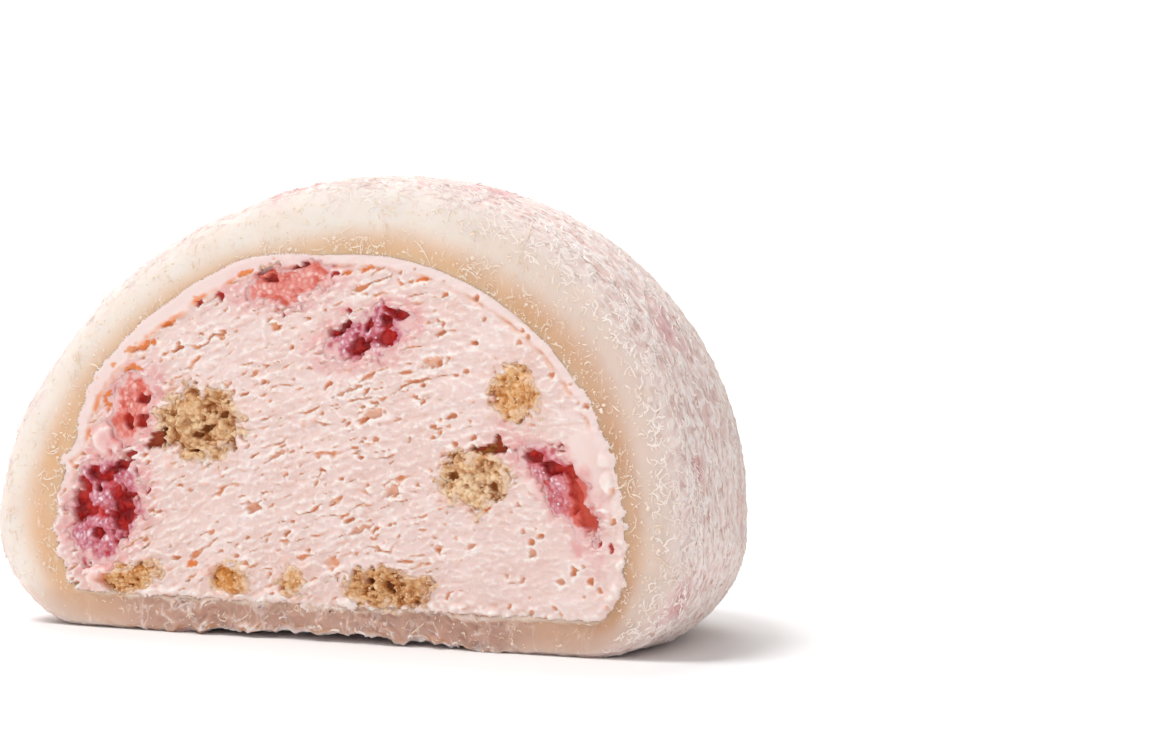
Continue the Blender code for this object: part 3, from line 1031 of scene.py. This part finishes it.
    def edge_in(self, triangles):
        """The smooth band under the dough with the groove on its inner side, and the rolled, proud edge."""
        x, z = self.x, self.z
        groove = crest(self.edge, self.inner_edge, 0.13) * self.top
        groove *= rise(self.other.on_cut(x, z, 1.5, 2.0, 2), -0.5, 0.3)
        over_dough = self.wide * fall(self.edge, BAND_LAP, BAND_LAP + 0.35)
        self.height = self.height * (1.0 - over_dough) + 0.14 * over_dough
        self.height -= 0.16 * groove * (1.0 - 0.5 * self.wide)
        # Painted shade in the groove.
        at_least(self.pit, 0.5 * groove)
        rolled = crest(self.edge, 0.35, 0.3) * (1.0 - self.top)
        rolled *= np.clip(0.35 + self.grain.on_cut(x, z, 1.1, 6.0), 0.0, 1.3)
        self.height += 0.28 * rolled
        self.pit *= rise(self.edge, 0.15, 0.4)
        # Painted highlight on the rolled edge.
        at_least(self.lip, 0.5 * rolled)
        for bulge in BULGES:
            self.bulge(*bulge)
        # Painted shade where the face dips below its smoothed level, and painted highlight where it stands
        # above it.
        dip = smoothed(self.height, triangles, 14) - self.height
        at_least(self.pit, 0.6 * rise(dip, 0.02, 0.14))
        at_least(self.lip, 0.8 * rise(-dip, 0.0, 0.09))
        self.lip *= 1.0 - 0.5 * self.band
        return groove

    def stain(self, groove):
        """Stains of juice, in holes and along the groove, and the caves, with painted shade in them."""
        x, z = self.x, self.z
        stained = rise(self.grain.on_cut(x, z, 1.2, 7.0), -0.25, 0.35)
        self.rust = groove * stained * rise(-x, 3.0, 7.0) * 0.9
        self.juice = groove * stained * rise(-np.abs(x - 0.5), -4.5, -2.5) * 0.7
        for holes, stain in ((RED_HOLES, self.juice), (RUSTY_HOLES, self.rust)):
            for cx, cz, length, height, depth in holes:
                near, hollow = self.stamp(cx, cz, length, height, depth, float(flow_angle(cx)))
                stain[near] = np.maximum(stain[near], rise(hollow, 0.1, 0.8) * 0.95)
        cave = caves(x, z)
        self.height -= CAVE_DEPTH * cave
        # Painted shade in the caves.
        self.dark = rise(cave, 0.15, 0.7)
        round_edge = np.sqrt(1.0 - (1.0 - np.clip(self.edge / 0.35, 0.0, 1.0)) ** 2)
        self.height = (self.height + 0.06) * round_edge + 0.14 * (round_edge - 1.0)

    def sink(self, lump):
        """A pocket for a lump, with a brim of ice cream, painted shade on its wall, and the juice of fruit in
        the ice cream round it.
        """
        fruit = lump in STRAWBERRIES
        away = lump.away(self.x, self.z)
        brim = crest(away, 0.2, 0.2)
        smear = np.clip(0.4 + self.other.on_cut(self.x, self.z, 0.8, lump.seed, 2), 0.0, 1.2)
        self.height += 0.10 * brim * smear
        self.height -= POCKET_DEPTH * fall(away, -0.6, 0.12)
        self.pit *= 1.0 - 0.8 * brim
        # Painted shade on the pocket's wall: red by fruit, orange by biscuit.
        wall = rise(-away, -0.12, 0.2) * (1.0 - self.dark)
        at_least(self.juice if fruit else self.rust, 0.65 * wall)
        if fruit:
            at_least(self.berry, fall(away, 0.0, 1.8) * (0.55 + 0.6 * smear))
        else:
            at_least(self.rust, 0.22 * fall(away, 0.0, 0.9) * smear)

    def build(self, triangles):
        """Everything on the face, in order."""
        self.roughen()
        self.stain(self.edge_in(triangles))
        for lump in STRAWBERRIES + BISCUITS:
            self.sink(lump)
        self.berry = np.clip(self.berry, 0.0, 1.0)


def edge_distances(x, z, outline):
    """How far points of the cut plane are from an outline."""
    best = np.full(len(x), 99.0)
    for ox, oz in outline[::2]:
        np.minimum(best, (x - ox) ** 2 + (z - oz) ** 2, out=best)
    return np.sqrt(best)


def upper_left(angles):
    """Where the ice cream's smooth band laps widest over the dough, 0 to 1 by direction."""
    degrees = np.degrees(angles) % 360.0
    return rise(degrees, 88.0, 114.0) * fall(degrees, 150.0, 168.0)


def filling_outline(angles):
    """The ice cream's outline on the cut: it laps over the dough in scallops, and smoothly at the top."""
    grain = Grain(23)
    low = fall(np.sin(angles), 0.35, 0.8)
    spots = CAVITY.loop(CUT_Y, angles) * np.array((1, 0, 1))
    scallop = np.abs(grain.layered(spots / 1.6))
    lap = 0.06 + low * (0.75 * scallop - 0.05 + 0.12 * grain.smooth(spots / 4.0))
    lap += BAND_LAP * upper_left(angles) * (1.0 + 0.15 * grain.smooth(spots / 2.5))
    return CAVITY.loop(CUT_Y, angles, -lap)[:, (0, 2)]


def from_waist(x, z):
    """Directions of points of the cut from the cavity's waist, and how far off they are."""
    x, z = x - CAVITY.centre_x, z - CAVITY.waist_z
    return np.arctan2(z, x) % (2.0 * math.pi), np.hypot(x, z)


def face_mesh(outline):
    """Points and triangles of the cut within an outline, on a grid that is a little uneven."""
    low, high = outline.min(axis=0), outline.max(axis=0)
    random = np.random.default_rng(6)
    rows = np.arange(low[1], high[1], FACE_SPACING * math.sqrt(3) / 2)
    x, z = np.meshgrid(np.arange(low[0], high[0], FACE_SPACING), rows)
    x = x + (np.arange(len(rows)) % 2)[:, None] * FACE_SPACING / 2
    x = (x + random.uniform(-0.2, 0.2, x.shape) * FACE_SPACING).ravel()
    z = (z + random.uniform(-0.2, 0.2, z.shape) * FACE_SPACING).ravel()
    direction, reach = from_waist(x, z)
    limit_direction, limit_reach = from_waist(*outline.T)
    order = np.argsort(limit_direction)
    limit = np.interp(direction, limit_direction[order], limit_reach[order], period=2.0 * math.pi)
    inside = reach < limit - 0.07
    corners = np.concatenate((outline, np.stack((x[inside], z[inside]), axis=1)))
    loop = [list(range(OUTLINE_POINTS))]
    made = geometry.delaunay_2d_cdt([Vector(corner) for corner in corners], [], loop, 1, 1e-6)
    return np.array([tuple(point) for point in made[0]]), np.array(made[2])


def make_filling(material):
    """The ice cream: a finely pitted face, and the plain dome behind it that lies in the dough."""
    angles = CAVITY.even_angles(CUT_Y, OUTLINE_POINTS)
    outline = filling_outline(angles)
    places, triangles = face_mesh(outline)
    x, z = places.T
    face = Face(x, z, edge_distances(x, z, outline))
    face.build(triangles)
    front = np.stack((x, CUT_Y - face.height, z), axis=1)

    back = Loft()
    back.add(front[:OUTLINE_POINTS], 0)
    for depth, thin in FILLING_LOOPS:
        back.add(FILLING.loop(CUT_Y + depth, angles[::thin]), 0)
    for turn in np.linspace(0.0, 0.94, 14):
        back.add(FILLING.loop(FILLING.half_depth * math.sin(turn * math.pi / 2), angles[::8]), 0)
    back.add(FILLING.pole(), 0)
    behind = np.concatenate(back.triangles)
    back_map = back.bake_map(behind) * (1.0, BACK_SHARE)
    hidden = np.concatenate(back.points)[OUTLINE_POINTS:]
    behind = np.where(behind < OUTLINE_POINTS, behind, behind + len(front) - OUTLINE_POINTS)
    points = np.concatenate((front, hidden))

    # Both halves are turned outwards: the face towards -Y, and the back away from its own middle.
    if triangle_sides(points, triangles)[:, 1].sum() > 0:
        triangles = triangles[:, ::-1]
    middle = points[behind].mean(axis=1) - np.array((0.0, CUT_Y, 9.0))
    if np.einsum("ij,ij", triangle_sides(points, behind), middle) < 0:
        behind, back_map = behind[:, ::-1], back_map[:, ::-1]
    bake_map = np.concatenate((above_back(flat_places(front))[triangles], back_map))
    triangles = np.concatenate((triangles, behind))
    fields = {key: np.concatenate((getattr(face, key), np.zeros(len(hidden)))) for key in Face.KEPT}
    piece = make_piece("ice_cream_filling", points, triangles, material, "ice_cream", fields, bake_map)
    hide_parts("ice_cream")


# ---------------------------------------------------------------- fruit and biscuit


def ball_mesh(fineness):
    """Points and triangles of a ball of radius 1; on fine balls they lie closer towards -Y, the cut."""
    ball = bmesh.new()
    bmesh.ops.create_icosphere(ball, subdivisions=fineness, radius=1.0)
    points = np.array([tuple(vert.co) for vert in ball.verts])
    if fineness > 4:
        turn = np.arccos(np.clip(-points[:, 1], -1.0, 1.0))
        closer = turn * (0.55 + 0.45 * turn / math.pi)
        shrink = np.sin(closer) / np.maximum(np.sin(turn), 1e-6)
        points = np.stack((points[:, 0] * shrink, -np.cos(closer), points[:, 2] * shrink), axis=1)
    triangles = np.array([[vert.index for vert in face.verts] for face in ball.faces])
    ball.free()
    return points, face_out(points, triangles)


BALLS = {fineness: ball_mesh(fineness) for fineness in (1, 5, 6)}

# How far a lump's middle lies behind the cut, as a share of half its depth.
LUMP_SINK = 0.2


def lump_form(lump, unevenness):
    """A lump's whole rounded form, before it is cut."""
    ball, triangles = BALLS[lump.fineness]
    grain = Grain(lump.seed)
    swell = 1.0 + unevenness * grain.layered(ball * 1.8)
    size = np.array((lump.half_length, lump.half_mean(), lump.half_height))
    form = ball * swell[:, None] * (size + lump.bend() + 0.6 * lump.ragged)
    form[:, 2] -= lump.bow * (form[:, 0] / lump.half_length) ** 2
    x, z = turned(form[:, 0], form[:, 2], -math.radians(lump.tilt))
    y = CUT_Y + LUMP_SINK * lump.half_mean() + form[:, 1]
    return np.stack((lump.x + x, y, lump.z + z), axis=1), triangles, grain


def make_lump(lump, ending, shaped, triangles, material, slot, fields):
    """A lump's mesh. Its cut half gets most of its flat image, and its back the rest."""
    corners = flat_places(shaped)[triangles]
    behind = BALLS[lump.fineness][0][:, 1][triangles].mean(axis=1) > 0.0
    bake_map = np.where(behind[:, None, None], corners * (1.0, BACK_SHARE), above_back(corners))
    piece = make_piece(lump.name + ending, shaped, triangles, material, slot, fields, bake_map)
    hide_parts(lump.name)


# Where dark red flesh shows among the ice: x, z, half length, half height, tilt.
RED_SPOTS = (
    (-16.1, 7.2, 0.7, 1.6, 0.0),
    (-13.4, 6.9, 0.8, 1.5, -8.0),
    (-15.0, 5.6, 0.5, 0.4, 0.0),
    (-15.3, 9.0, 0.5, 0.45, 0.0),
    (-13.4, 9.7, 1.9, 0.4, 33.0),
    (-12.2, 9.3, 0.35, 0.4, 0.0),
    (-14.9, 8.1, 0.3, 0.3, 0.0),
    (-12.0, 12.3, 0.35, 0.5, 0.0),
    (-12.9, 12.0, 0.3, 0.5, 0.0),
    (-11.9, 13.4, 0.5, 0.3, 0.0),
    (-4.3, 21.2, 1.0, 0.28, 14.0),
    (-1.8, 21.5, 0.9, 0.25, 2.0),
    (-3.5, 20.6, 0.5, 0.25, 8.0),
    (1.0, 18.0, 0.9, 0.5, 25.0),
    (2.0, 18.8, 0.25, 0.25, 0.0),
    (3.9, 18.5, 0.5, 0.35, -20.0),
    (4.7, 18.9, 0.65, 0.35, -12.0),
    (2.2, 17.0, 0.8, 0.6, 40.0),
    (3.9, 17.5, 0.6, 0.45, 20.0),
    (2.8, 18.2, 0.2, 0.55, -25.0),
    (13.2, 11.2, 0.8, 0.35, -8.0),
    (14.3, 10.6, 0.8, 0.5, -30.0),
    (15.6, 10.5, 0.45, 0.4, 0.0),
    (16.0, 9.3, 0.7, 0.4, -60.0),
    (16.6, 8.0, 1.1, 0.5, -62.0),
)

# How pale the less ripe pieces of fruit are, 0 to 1.
PALE_FRUIT = {"strawberry_top": 0.8, "strawberry_left_high": 0.8, "strawberry_right": 0.15}


def make_strawberry(lump, material):
    """A piece of frozen strawberry, broken open at the cut: glassy hollows between crusts of ice."""
    points, triangles, grain = lump_form(lump, 0.14)
    pale = PALE_FRUIT.get(lump.name, 0.0)
    x, y, z = points.T
    broken = grain.on_cut(x, z, 0.9, 0.0, 3, 0.6)
    red = np.zeros_like(x)
    for spot in RED_SPOTS:
        at_least(red, fall(oval(x, z, *spot) + 0.55 * broken, 0.75, 1.15))
    near, second, knob_tone = grain.cells(flat(x / 0.34, z / 0.34, 0.3) + 0.3 * broken[:, None])
    knob = rise(second - near, 0.0, 0.5)
    frost = rise(broken, -0.9, -0.1) * (1.0 - red)
    away = lump.away(x, z)
    relief = 0.16 * broken + frost * (0.14 * knob + 0.20 * (knob_tone - 0.5)) - 0.45 * red + 0.03
    front = CUT_Y - (relief - 0.7 * rise(away, 0.0, 0.7))
    cut = y < front
    cave = caves(x, z)
    y = np.maximum(np.maximum(y, front), CUT_Y + CAVE_DEPTH * cave)

    # The fruit's end at the far right is paler, with less ice on it.
    tip = rise(x, 14.9, 16.2)
    frost = frost * (1.0 - cave) * (1.0 - 0.6 * tip)
    # The caves are painted dark red, as shade.
    at_least(red, cave)
    deep = red * rise(broken, -0.5, 0.4) * (1.0 - 0.7 * rise(x, 14.8, 16.0))
    fields = {
        # The ice is thicker and paler on the knobs' tops, and thinner and darker in the creases: partly its
        # own, partly painted highlight and painted shade.
        "frost": np.where(cut, frost * (0.35 + 0.3 * knob + 0.35 * knob_tone), 0.2),
        "deep": np.where(cut, deep, 0.0),
        "pale": pale * (1.0 - 0.75 * red) + 0.5 * tip,
        "veil": np.where(cut, rise(away + 0.25 * broken, -0.55, -0.05) * (1.0 - 0.9 * red), 0.0),
    }
    shaped = np.stack((x, y, z), axis=1)
    make_lump(lump, "_flesh", shaped, triangles, material, "strawberry", fields)
    return shaped, triangles, np.where(cut, frost * (1.0 - 0.8 * pale), 0.0)


# How brown each piece of biscuit is baked, how far it is soaked and turned orange, and how far cream is
# smeared over it. Pieces that aren't named are pale, dry and well smeared.
TOASTED = {"biscuit_left": 0.55, "biscuit_foot_far_left": 0.6, "biscuit_foot_right": 0.8}
SOAKED = {
    "biscuit_right_high": 0.8,
    "biscuit_foot_far_left": 0.8,
    "biscuit_foot_left": 1.0,
    "biscuit_foot_middle": 0.7,
    "biscuit_foot_right": 0.35,
}
SMEARED = {"biscuit_left": 0.0, "biscuit_foot_right": 0.3, "biscuit_right_high": 0.5}
WELL_SMEARED = 0.9


def make_biscuit(lump, material):
    """A piece of biscuit: sandy grains pressed into clumps, with holes between them."""
    points, triangles, grain = lump_form(lump, 0.2)
    x, y, z = points.T
    sandy = points + 0.07 * grain.push(points / 0.22, 5.0)
    near, _, tone = grain.cells(sandy / 0.32)
    fine, _, fine_tone = grain.cells(sandy / 0.15 + 4.0)
    crumb = np.clip(1.0 - (near / 0.75) ** 2, 0.0, 1.0)
    clump = grain.layered(points / 1.05 + 9.0, 4, 0.6)
    bump = 0.08 * crumb + 0.12 * (tone - 0.5) + 0.09 * (fine_tone - 0.5) - 0.03 * fine + 0.26 * clump
    broad = grain.layered(points / 1.8 + 50.0, 2)
    hole = rise(grain.layered(points / 0.85 + 30.0, 2), 0.62, 0.76)
    # Painted shade: in the gaps between grains, the hollows between clumps and the holes.
    shade = np.clip(0.45 * (1.0 - crumb) + 0.55 * rise(-clump, 0.0, 0.7) + hole, 0.0, 1.0)
    away = lump.away(x, z)
    cave = caves(x, z)
    # Painted shade in the caves.
    shade = np.maximum(shade, 1.2 * cave).clip(0.0, 1.0)
    front = CUT_Y - 0.02 - bump + 0.5 * hole + 0.8 * rise(away, 0.0, 0.7)
    smear = rise(grain.on_cut(x, z, 1.0, 20.0, 3, 0.6) - 0.12 * away, 0.38, 0.55)
    smear *= (1.0 - cave) * rise(away, -1.3, -0.6) * SMEARED.get(lump.name, WELL_SMEARED)
    y = np.maximum(y, front + CAVE_DEPTH * cave) - 0.06 * smear
    veil = 0.7 * rise(away + 0.3 * (tone - 0.5), -0.4, 0.0) * (1.0 - cave)
    fields = {
        "hole": shade * (1.0 - smear),
        # Tone varies at random, and is lighter on the rounded tops of the grains: painted highlight.
        "tone": np.clip(0.4 * tone + 0.2 * fine_tone + 0.4 * crumb + 0.5 * broad, 0.0, 1.0),
        "soaked": np.full_like(x, SOAKED.get(lump.name, 0.0)),
        "toasted": np.full_like(x, TOASTED.get(lump.name, 0.0)),
        "veil": np.maximum(veil, 0.9 * smear),
    }
    shaped = np.stack((x, y, z), axis=1)
    make_lump(lump, "_crumb", shaped, triangles, material, "biscuit", fields)
    return shaped, triangles


# ---------------------------------------------------------------- threads, wisps and grains

# How many wisps there are, and how many grains and crystals for each triangle that can hold one.
NEAR_WISPS = 1300
FAR_WISPS = 2900
RIM_WISPS = 1200
SAND_SHARE = 0.02
ICE_SHARE = 0.008

# How high threads stand, as a share of their width.
WISP_HEIGHT = 0.16
SHRED_HEIGHT = 0.35


def spots_on(points, triangles, chosen, count, random):
    """Random places on some of a mesh's triangles, even by area, with the outward direction there."""
    normals = point_normals(points, triangles)
    picked = triangles[chosen]
    area = np.linalg.norm(triangle_sides(points, picked), axis=1)
    where = random.choice(len(picked), count, p=area / area.sum())
    u, v = random.random(count), random.random(count)
    over = u + v > 1
    u, v = np.where(over, 1 - u, u), np.where(over, 1 - v, v)
    weights = np.stack((1 - u - v, u, v), axis=1)[:, :, None]
    corners = picked[where]
    place, normal = ((values[corners] * weights).sum(axis=1) for values in (points, normals))
    return place, normal / np.linalg.norm(normal, axis=1, keepdims=True)


def on_zones(skin, zones, counts, random):
    """Random places on the dough, a count of them on each zone, with the outward directions there."""
    spots = [
        spots_on(skin.points, skin.triangles, np.flatnonzero(zone), count, random)
        for zone, count in zip(zones, counts)
    ]
    return [np.concatenate(values) for values in zip(*spots)]


def curled_threads(place, normal, heading, length, width, bend, lift, sway=0.0, sections=5):
    """Tapered threads lying on a surface: curved three-sided rods, S-shaped where they sway."""
    count = len(place)
    side = np.cross(normal, heading)
    side /= np.linalg.norm(side, axis=1, keepdims=True)
    heading = np.cross(side, normal)
    steps = np.linspace(-0.5, 0.5, sections)
    turn = np.multiply.outer(bend, steps)
    turn += np.multiply.outer(sway * np.ones(count), np.sin(2 * math.pi * steps))
    half_way = (turn[:, 1:] + turn[:, :-1]) / 2
    start = np.zeros((count, 1))
    along, across = (
        np.concatenate((start, np.cumsum(wave(half_way), axis=1)), axis=1) / (sections - 1)
        for wave in (np.cos, np.sin)
    )
    along -= along.mean(axis=1, keepdims=True)
    across -= across.mean(axis=1, keepdims=True)
    taper = 0.2 + 0.8 * np.sqrt(np.cos(math.pi * steps).clip(0.0))
    rows = []
    for row, share in enumerate(taper):
        centre = place + (heading * along[:, row, None] + side * across[:, row, None]) * length[:, None]
        forward = heading * np.cos(turn[:, row, None]) + side * np.sin(turn[:, row, None])
        half = np.cross(normal, forward) * (width * share / 2)[:, None]
        high = lift[:, None] * (0.4 + 0.6 * share)
        rows += [centre + half - normal * 0.03, centre + normal * high, centre - half - normal * 0.03]
    pattern = []
    for row in range(sections - 1):
        for corner in range(3):
            one, two = row * 3 + corner, row * 3 + (corner + 1) % 3
            pattern += [(one, two, two + 3), (one, two + 3, one + 3)]
    last = 3 * (sections - 1)
    pattern += [(2, 1, 0), (last, last + 1, last + 2)]
    points = np.stack(rows, axis=1).reshape(-1, 3)
    shift = 3 * sections * np.arange(count)[:, None, None]
    return points, face_out(points, (np.array(pattern)[None] + shift).reshape(-1, 3))


def small_grains(place, size, random):
    """Small uneven grains, one at each place."""
    ball, triangles = BALLS[1]
    count = len(place)
    stretch = random.uniform(0.6, 1.3, (count, 1, 3)) * size[:, None, None]
    knobs = random.uniform(0.8, 1.2, (count, len(ball), 1))
    points = place[:, None, :] + ball[None] * stretch * knobs
    shift = len(ball) * np.arange(count)[:, None, None]
    return points.reshape(-1, 3), (triangles[None] + shift).reshape(-1, 3)


def make_sand(biscuits, material):
    """Loose sugary grains stuck to the biscuit where it is cut, and strewn a little way round it."""
    random = np.random.default_rng(53)
    places = []
    for shaped, triangles in biscuits:
        cut = np.flatnonzero(shaped[triangles].mean(axis=1)[:, 1] < CUT_Y + 0.2)
        places.append(spots_on(shaped, triangles, cut, int(len(cut) * SAND_SHARE), random)[0])
    place = np.concatenate(places)
    points, triangles = small_grains(place, random.lognormal(-2.85, 0.4, len(place)), random)
    tone = np.repeat(random.random(len(place)), len(BALLS[1][0]))
    fields = {"hole": np.zeros(len(points)), "tone": 0.25 + 0.75 * tone}
    make_piece("biscuit_grains", points, triangles, material, "biscuit", fields, soft=False)


def make_ice(strawberries, material):
    """Small crystals of ice on the frosted parts of the fruit, where it has any."""
    random = np.random.default_rng(54)
    places = []
    for shaped, triangles, frost in strawberries:
        icy = np.flatnonzero(frost[triangles].mean(axis=1) > 0.6)
        if len(icy):
            places.append(spots_on(shaped, triangles, icy, int(len(icy) * ICE_SHARE), random)[0])
    place = np.concatenate(places)
    grains = small_grains(place, random.lognormal(-3.15, 0.35, len(place)), random)
    make_piece("fruit_ice", *grains, material, "strawberry")


def contour_heading(normal, random, spread):
    """Directions along the cut's rim, turned at random by spread radians."""
    heading = np.cross(normal, np.array((0.0, 1.0, 0.0)))
    heading /= np.maximum(np.linalg.norm(heading, axis=1, keepdims=True), 1e-6)
    side = np.cross(normal, heading)
    turn = random.normal(0.0, 1.0, len(normal)) * spread
    return heading * np.cos(turn)[:, None] + side * np.sin(turn)[:, None]


def make_flour_wisps(skin, material):
    """Wisps of caked flour all over the outside, lying along the rim near the cut."""
    random = np.random.default_rng(51)
    above = skin.middles[:, 2] > 0.15
    near = (skin.marks > 1.35) & (skin.marks < 3.0) & above
    zones = (near, (skin.marks >= 3.0) & above)
    place, normal = on_zones(skin, zones, (NEAR_WISPS, FAR_WISPS), random)
    count = len(place)
    far = np.arange(count) >= NEAR_WISPS
    heading = contour_heading(normal, random, np.where(far, 1.6, 0.6))
    length = random.uniform(0.35, 1.1, count)
    bend = random.normal(0.0, 1.0, count) * np.where(far, 3.0, 1.6)
    sway = random.normal(0.0, 0.9, count)
    width = random.uniform(0.11, 0.26, count)
    threads = curled_threads(place, normal, heading, length, width, bend, width * WISP_HEIGHT, sway, 7)
    make_piece("flour_wisps", *threads, material, "rice_dough", soft=False)


def make_rim_wisps(skin, material):
    """Curls of flour dragged over the rim of the cut."""
    random = np.random.default_rng(56)
    rim = (skin.marks > 1.05) & (skin.marks < 2.15) & (skin.middles[:, 2] > 1.2) & (skin.middles[:, 0] > 0.0)
    place, normal = on_zones(skin, (rim,), (RIM_WISPS,), random)
    count = len(place)
    heading = contour_heading(normal, random, 0.6)
    length = random.lognormal(-0.7, 0.4, count)
    width = random.uniform(0.09, 0.2, count)
    bend = random.normal(0.0, 1.1, count)
    sway = random.normal(0.0, 0.8, count)
    threads = curled_threads(place, normal, heading, length, width, bend, width * WISP_HEIGHT, sway, 7)
    make_piece("rim_wisps", *threads, material, "rice_dough", soft=False)


def make_cut_threads(skin, material):
    """Shreds and specks of dough that the knife left on the cut, thickest beside the filling."""
    random = np.random.default_rng(52)
    clustered = Grain(55).layered(skin.middles / 1.7, 2) > -0.45
    marks = np.where(clustered, skin.marks, -1.0)
    beside = np.abs(skin.middles[:, 0]) > 12.0
    foot = skin.middles[:, 2] < 2.2
    inner = (marks > 0.04) & (marks < 0.5) & ~foot
    zones = (
        inner & beside,
        inner & ~beside,
        (marks >= 0.5) & (marks < 1.3) & ~foot,
        (marks > 0.04) & (marks < 1.2) & foot,
    )
    for name, counts, typical_length, bend_spread in (
        ("dough_flecks", (160, 120, 260, 50), 0.32, 2.0),
        ("dough_curls", (20, 24, 20, 12), 1.0, 3.0),
        ("dough_specks", (260, 200, 480, 80), None, None),
    ):
        place, normal = on_zones(skin, zones, counts, random)
        count = len(place)
        if typical_length is None:
            made = small_grains(place, random.lognormal(-3.0, 0.4, count), random)
        else:
            heading = contour_heading(normal, random, 1.1)
            length = typical_length * random.lognormal(0.0, 0.4, count)
            width = random.uniform(0.07, 0.16, count)
            bend = random.normal(0.0, bend_spread, count)
            made = curled_threads(place, normal, heading, length, width, bend, width * SHRED_HEIGHT)
        make_piece(name, *made, material, "rice_dough", soft=False)


# ---------------------------------------------------------------- the studio

FLOOR_SIZE = 6.0
SKY_AT_HORIZON = 0.25
SKY_ABOVE = 0.55
CAMERA_AZIMUTH = 26.461
CAMERA_ELEVATION = 4.854
CAMERA_DISTANCE = 357.2
CAMERA_LENS = 196.6
CAMERA_TARGET = (16.70, CUT_Y, 16.14)


def aim(thing, place, target):
    """Puts a light or camera at a place, in metres, and turns it to look at a target."""
    thing.location = place
    thing.rotation_euler = (Vector(target) - Vector(place)).to_track_quat("-Z", "Y").to_euler()


def add_sun(name, from_direction, brightness, softness):
    """A distant soft white light; brightness is what a white sheet that faces it would show."""
    data = bpy.data.lights.new(name, "SUN")
    data.energy = brightness * math.pi
    data.angle = math.radians(softness)
    aim(add_thing(name, data), from_direction, (0.0, 0.0, 0.0))


def make_sky():
    """Soft white light from all round, brighter from above, as under a large overhead diffuser."""
    world = bpy.data.worlds.new("studio")
    world.use_nodes = True
    tree = world.node_tree
    height = add_node(tree, "SeparateXYZ", "Z", {0: add_node(tree, "TexCoord", "Generated")})
    links = {"Value": height, "From Max": 0.9, "To Min": SKY_AT_HORIZON, "To Max": SKY_ABOVE}
    background = tree.nodes["Background"]
    feed(tree, background.inputs["Strength"], add_node(tree, "MapRange", 0, links))
    feed(tree, background.inputs["Color"], "#FFFFFF")
    bpy.context.scene.world = world


def make_studio():
    """A white floor, soft light and the camera."""
    half = FLOOR_SIZE / 2
    mesh = bpy.data.meshes.new("floor")
    corners = [(-half, -half, 0), (half, -half, 0), (half, half, 0), (-half, half, 0)]
    mesh.from_pydata(corners, [], [(0, 1, 2, 3)])
    mesh.materials.append(Finish("white paper").done("#FCFCFC", 0.9, Specular_IOR_Level=0.1))
    floor = add_thing("floor", mesh)
    floor.location = (0.0, half * 0.6, 0.0)

    make_sky()
    add_sun("key", (-0.5, 0.6, 1.0), 0.40, 40.0)
    add_sun("top", (-0.3, -0.25, 1.0), 0.50, 25.0)
    add_sun("fill", (0.4, -1.0, 0.25), 0.15, 40.0)
    bpy.context.scene.view_settings.view_transform = "Standard"

    azimuth, elevation = math.radians(CAMERA_AZIMUTH), math.radians(CAMERA_ELEVATION)
    level = math.cos(elevation)
    back = np.array((math.sin(azimuth) * level, -math.cos(azimuth) * level, math.sin(elevation)))
    target = (np.array(CAMERA_TARGET) + BALL_SHIFT) * MM
    data = bpy.data.cameras.new("camera")
    data.lens = CAMERA_LENS
    data.sensor_width = 36.0
    data.clip_end = 20.0
    camera = add_thing("camera", data)
    aim(camera, target + back * CAMERA_DISTANCE * MM, target)
    bpy.context.scene.camera = camera


def main():
    """Everything that the scene shows, in order."""
    make_studio()
    skin = make_dough(rice_dough_finish())
    make_filling(ice_cream_finish())
    strawberry = frozen_strawberry_finish()
    make_ice([make_strawberry(lump, strawberry) for lump in STRAWBERRIES], water_ice_finish())
    biscuit = baked_biscuit_finish()
    make_sand([make_biscuit(lump, biscuit) for lump in BISCUITS], biscuit)
    flour = rice_flour_finish()
    make_flour_wisps(skin, flour)
    make_rim_wisps(skin, flour)
    make_cut_threads(skin, dry_dough_finish())


main()
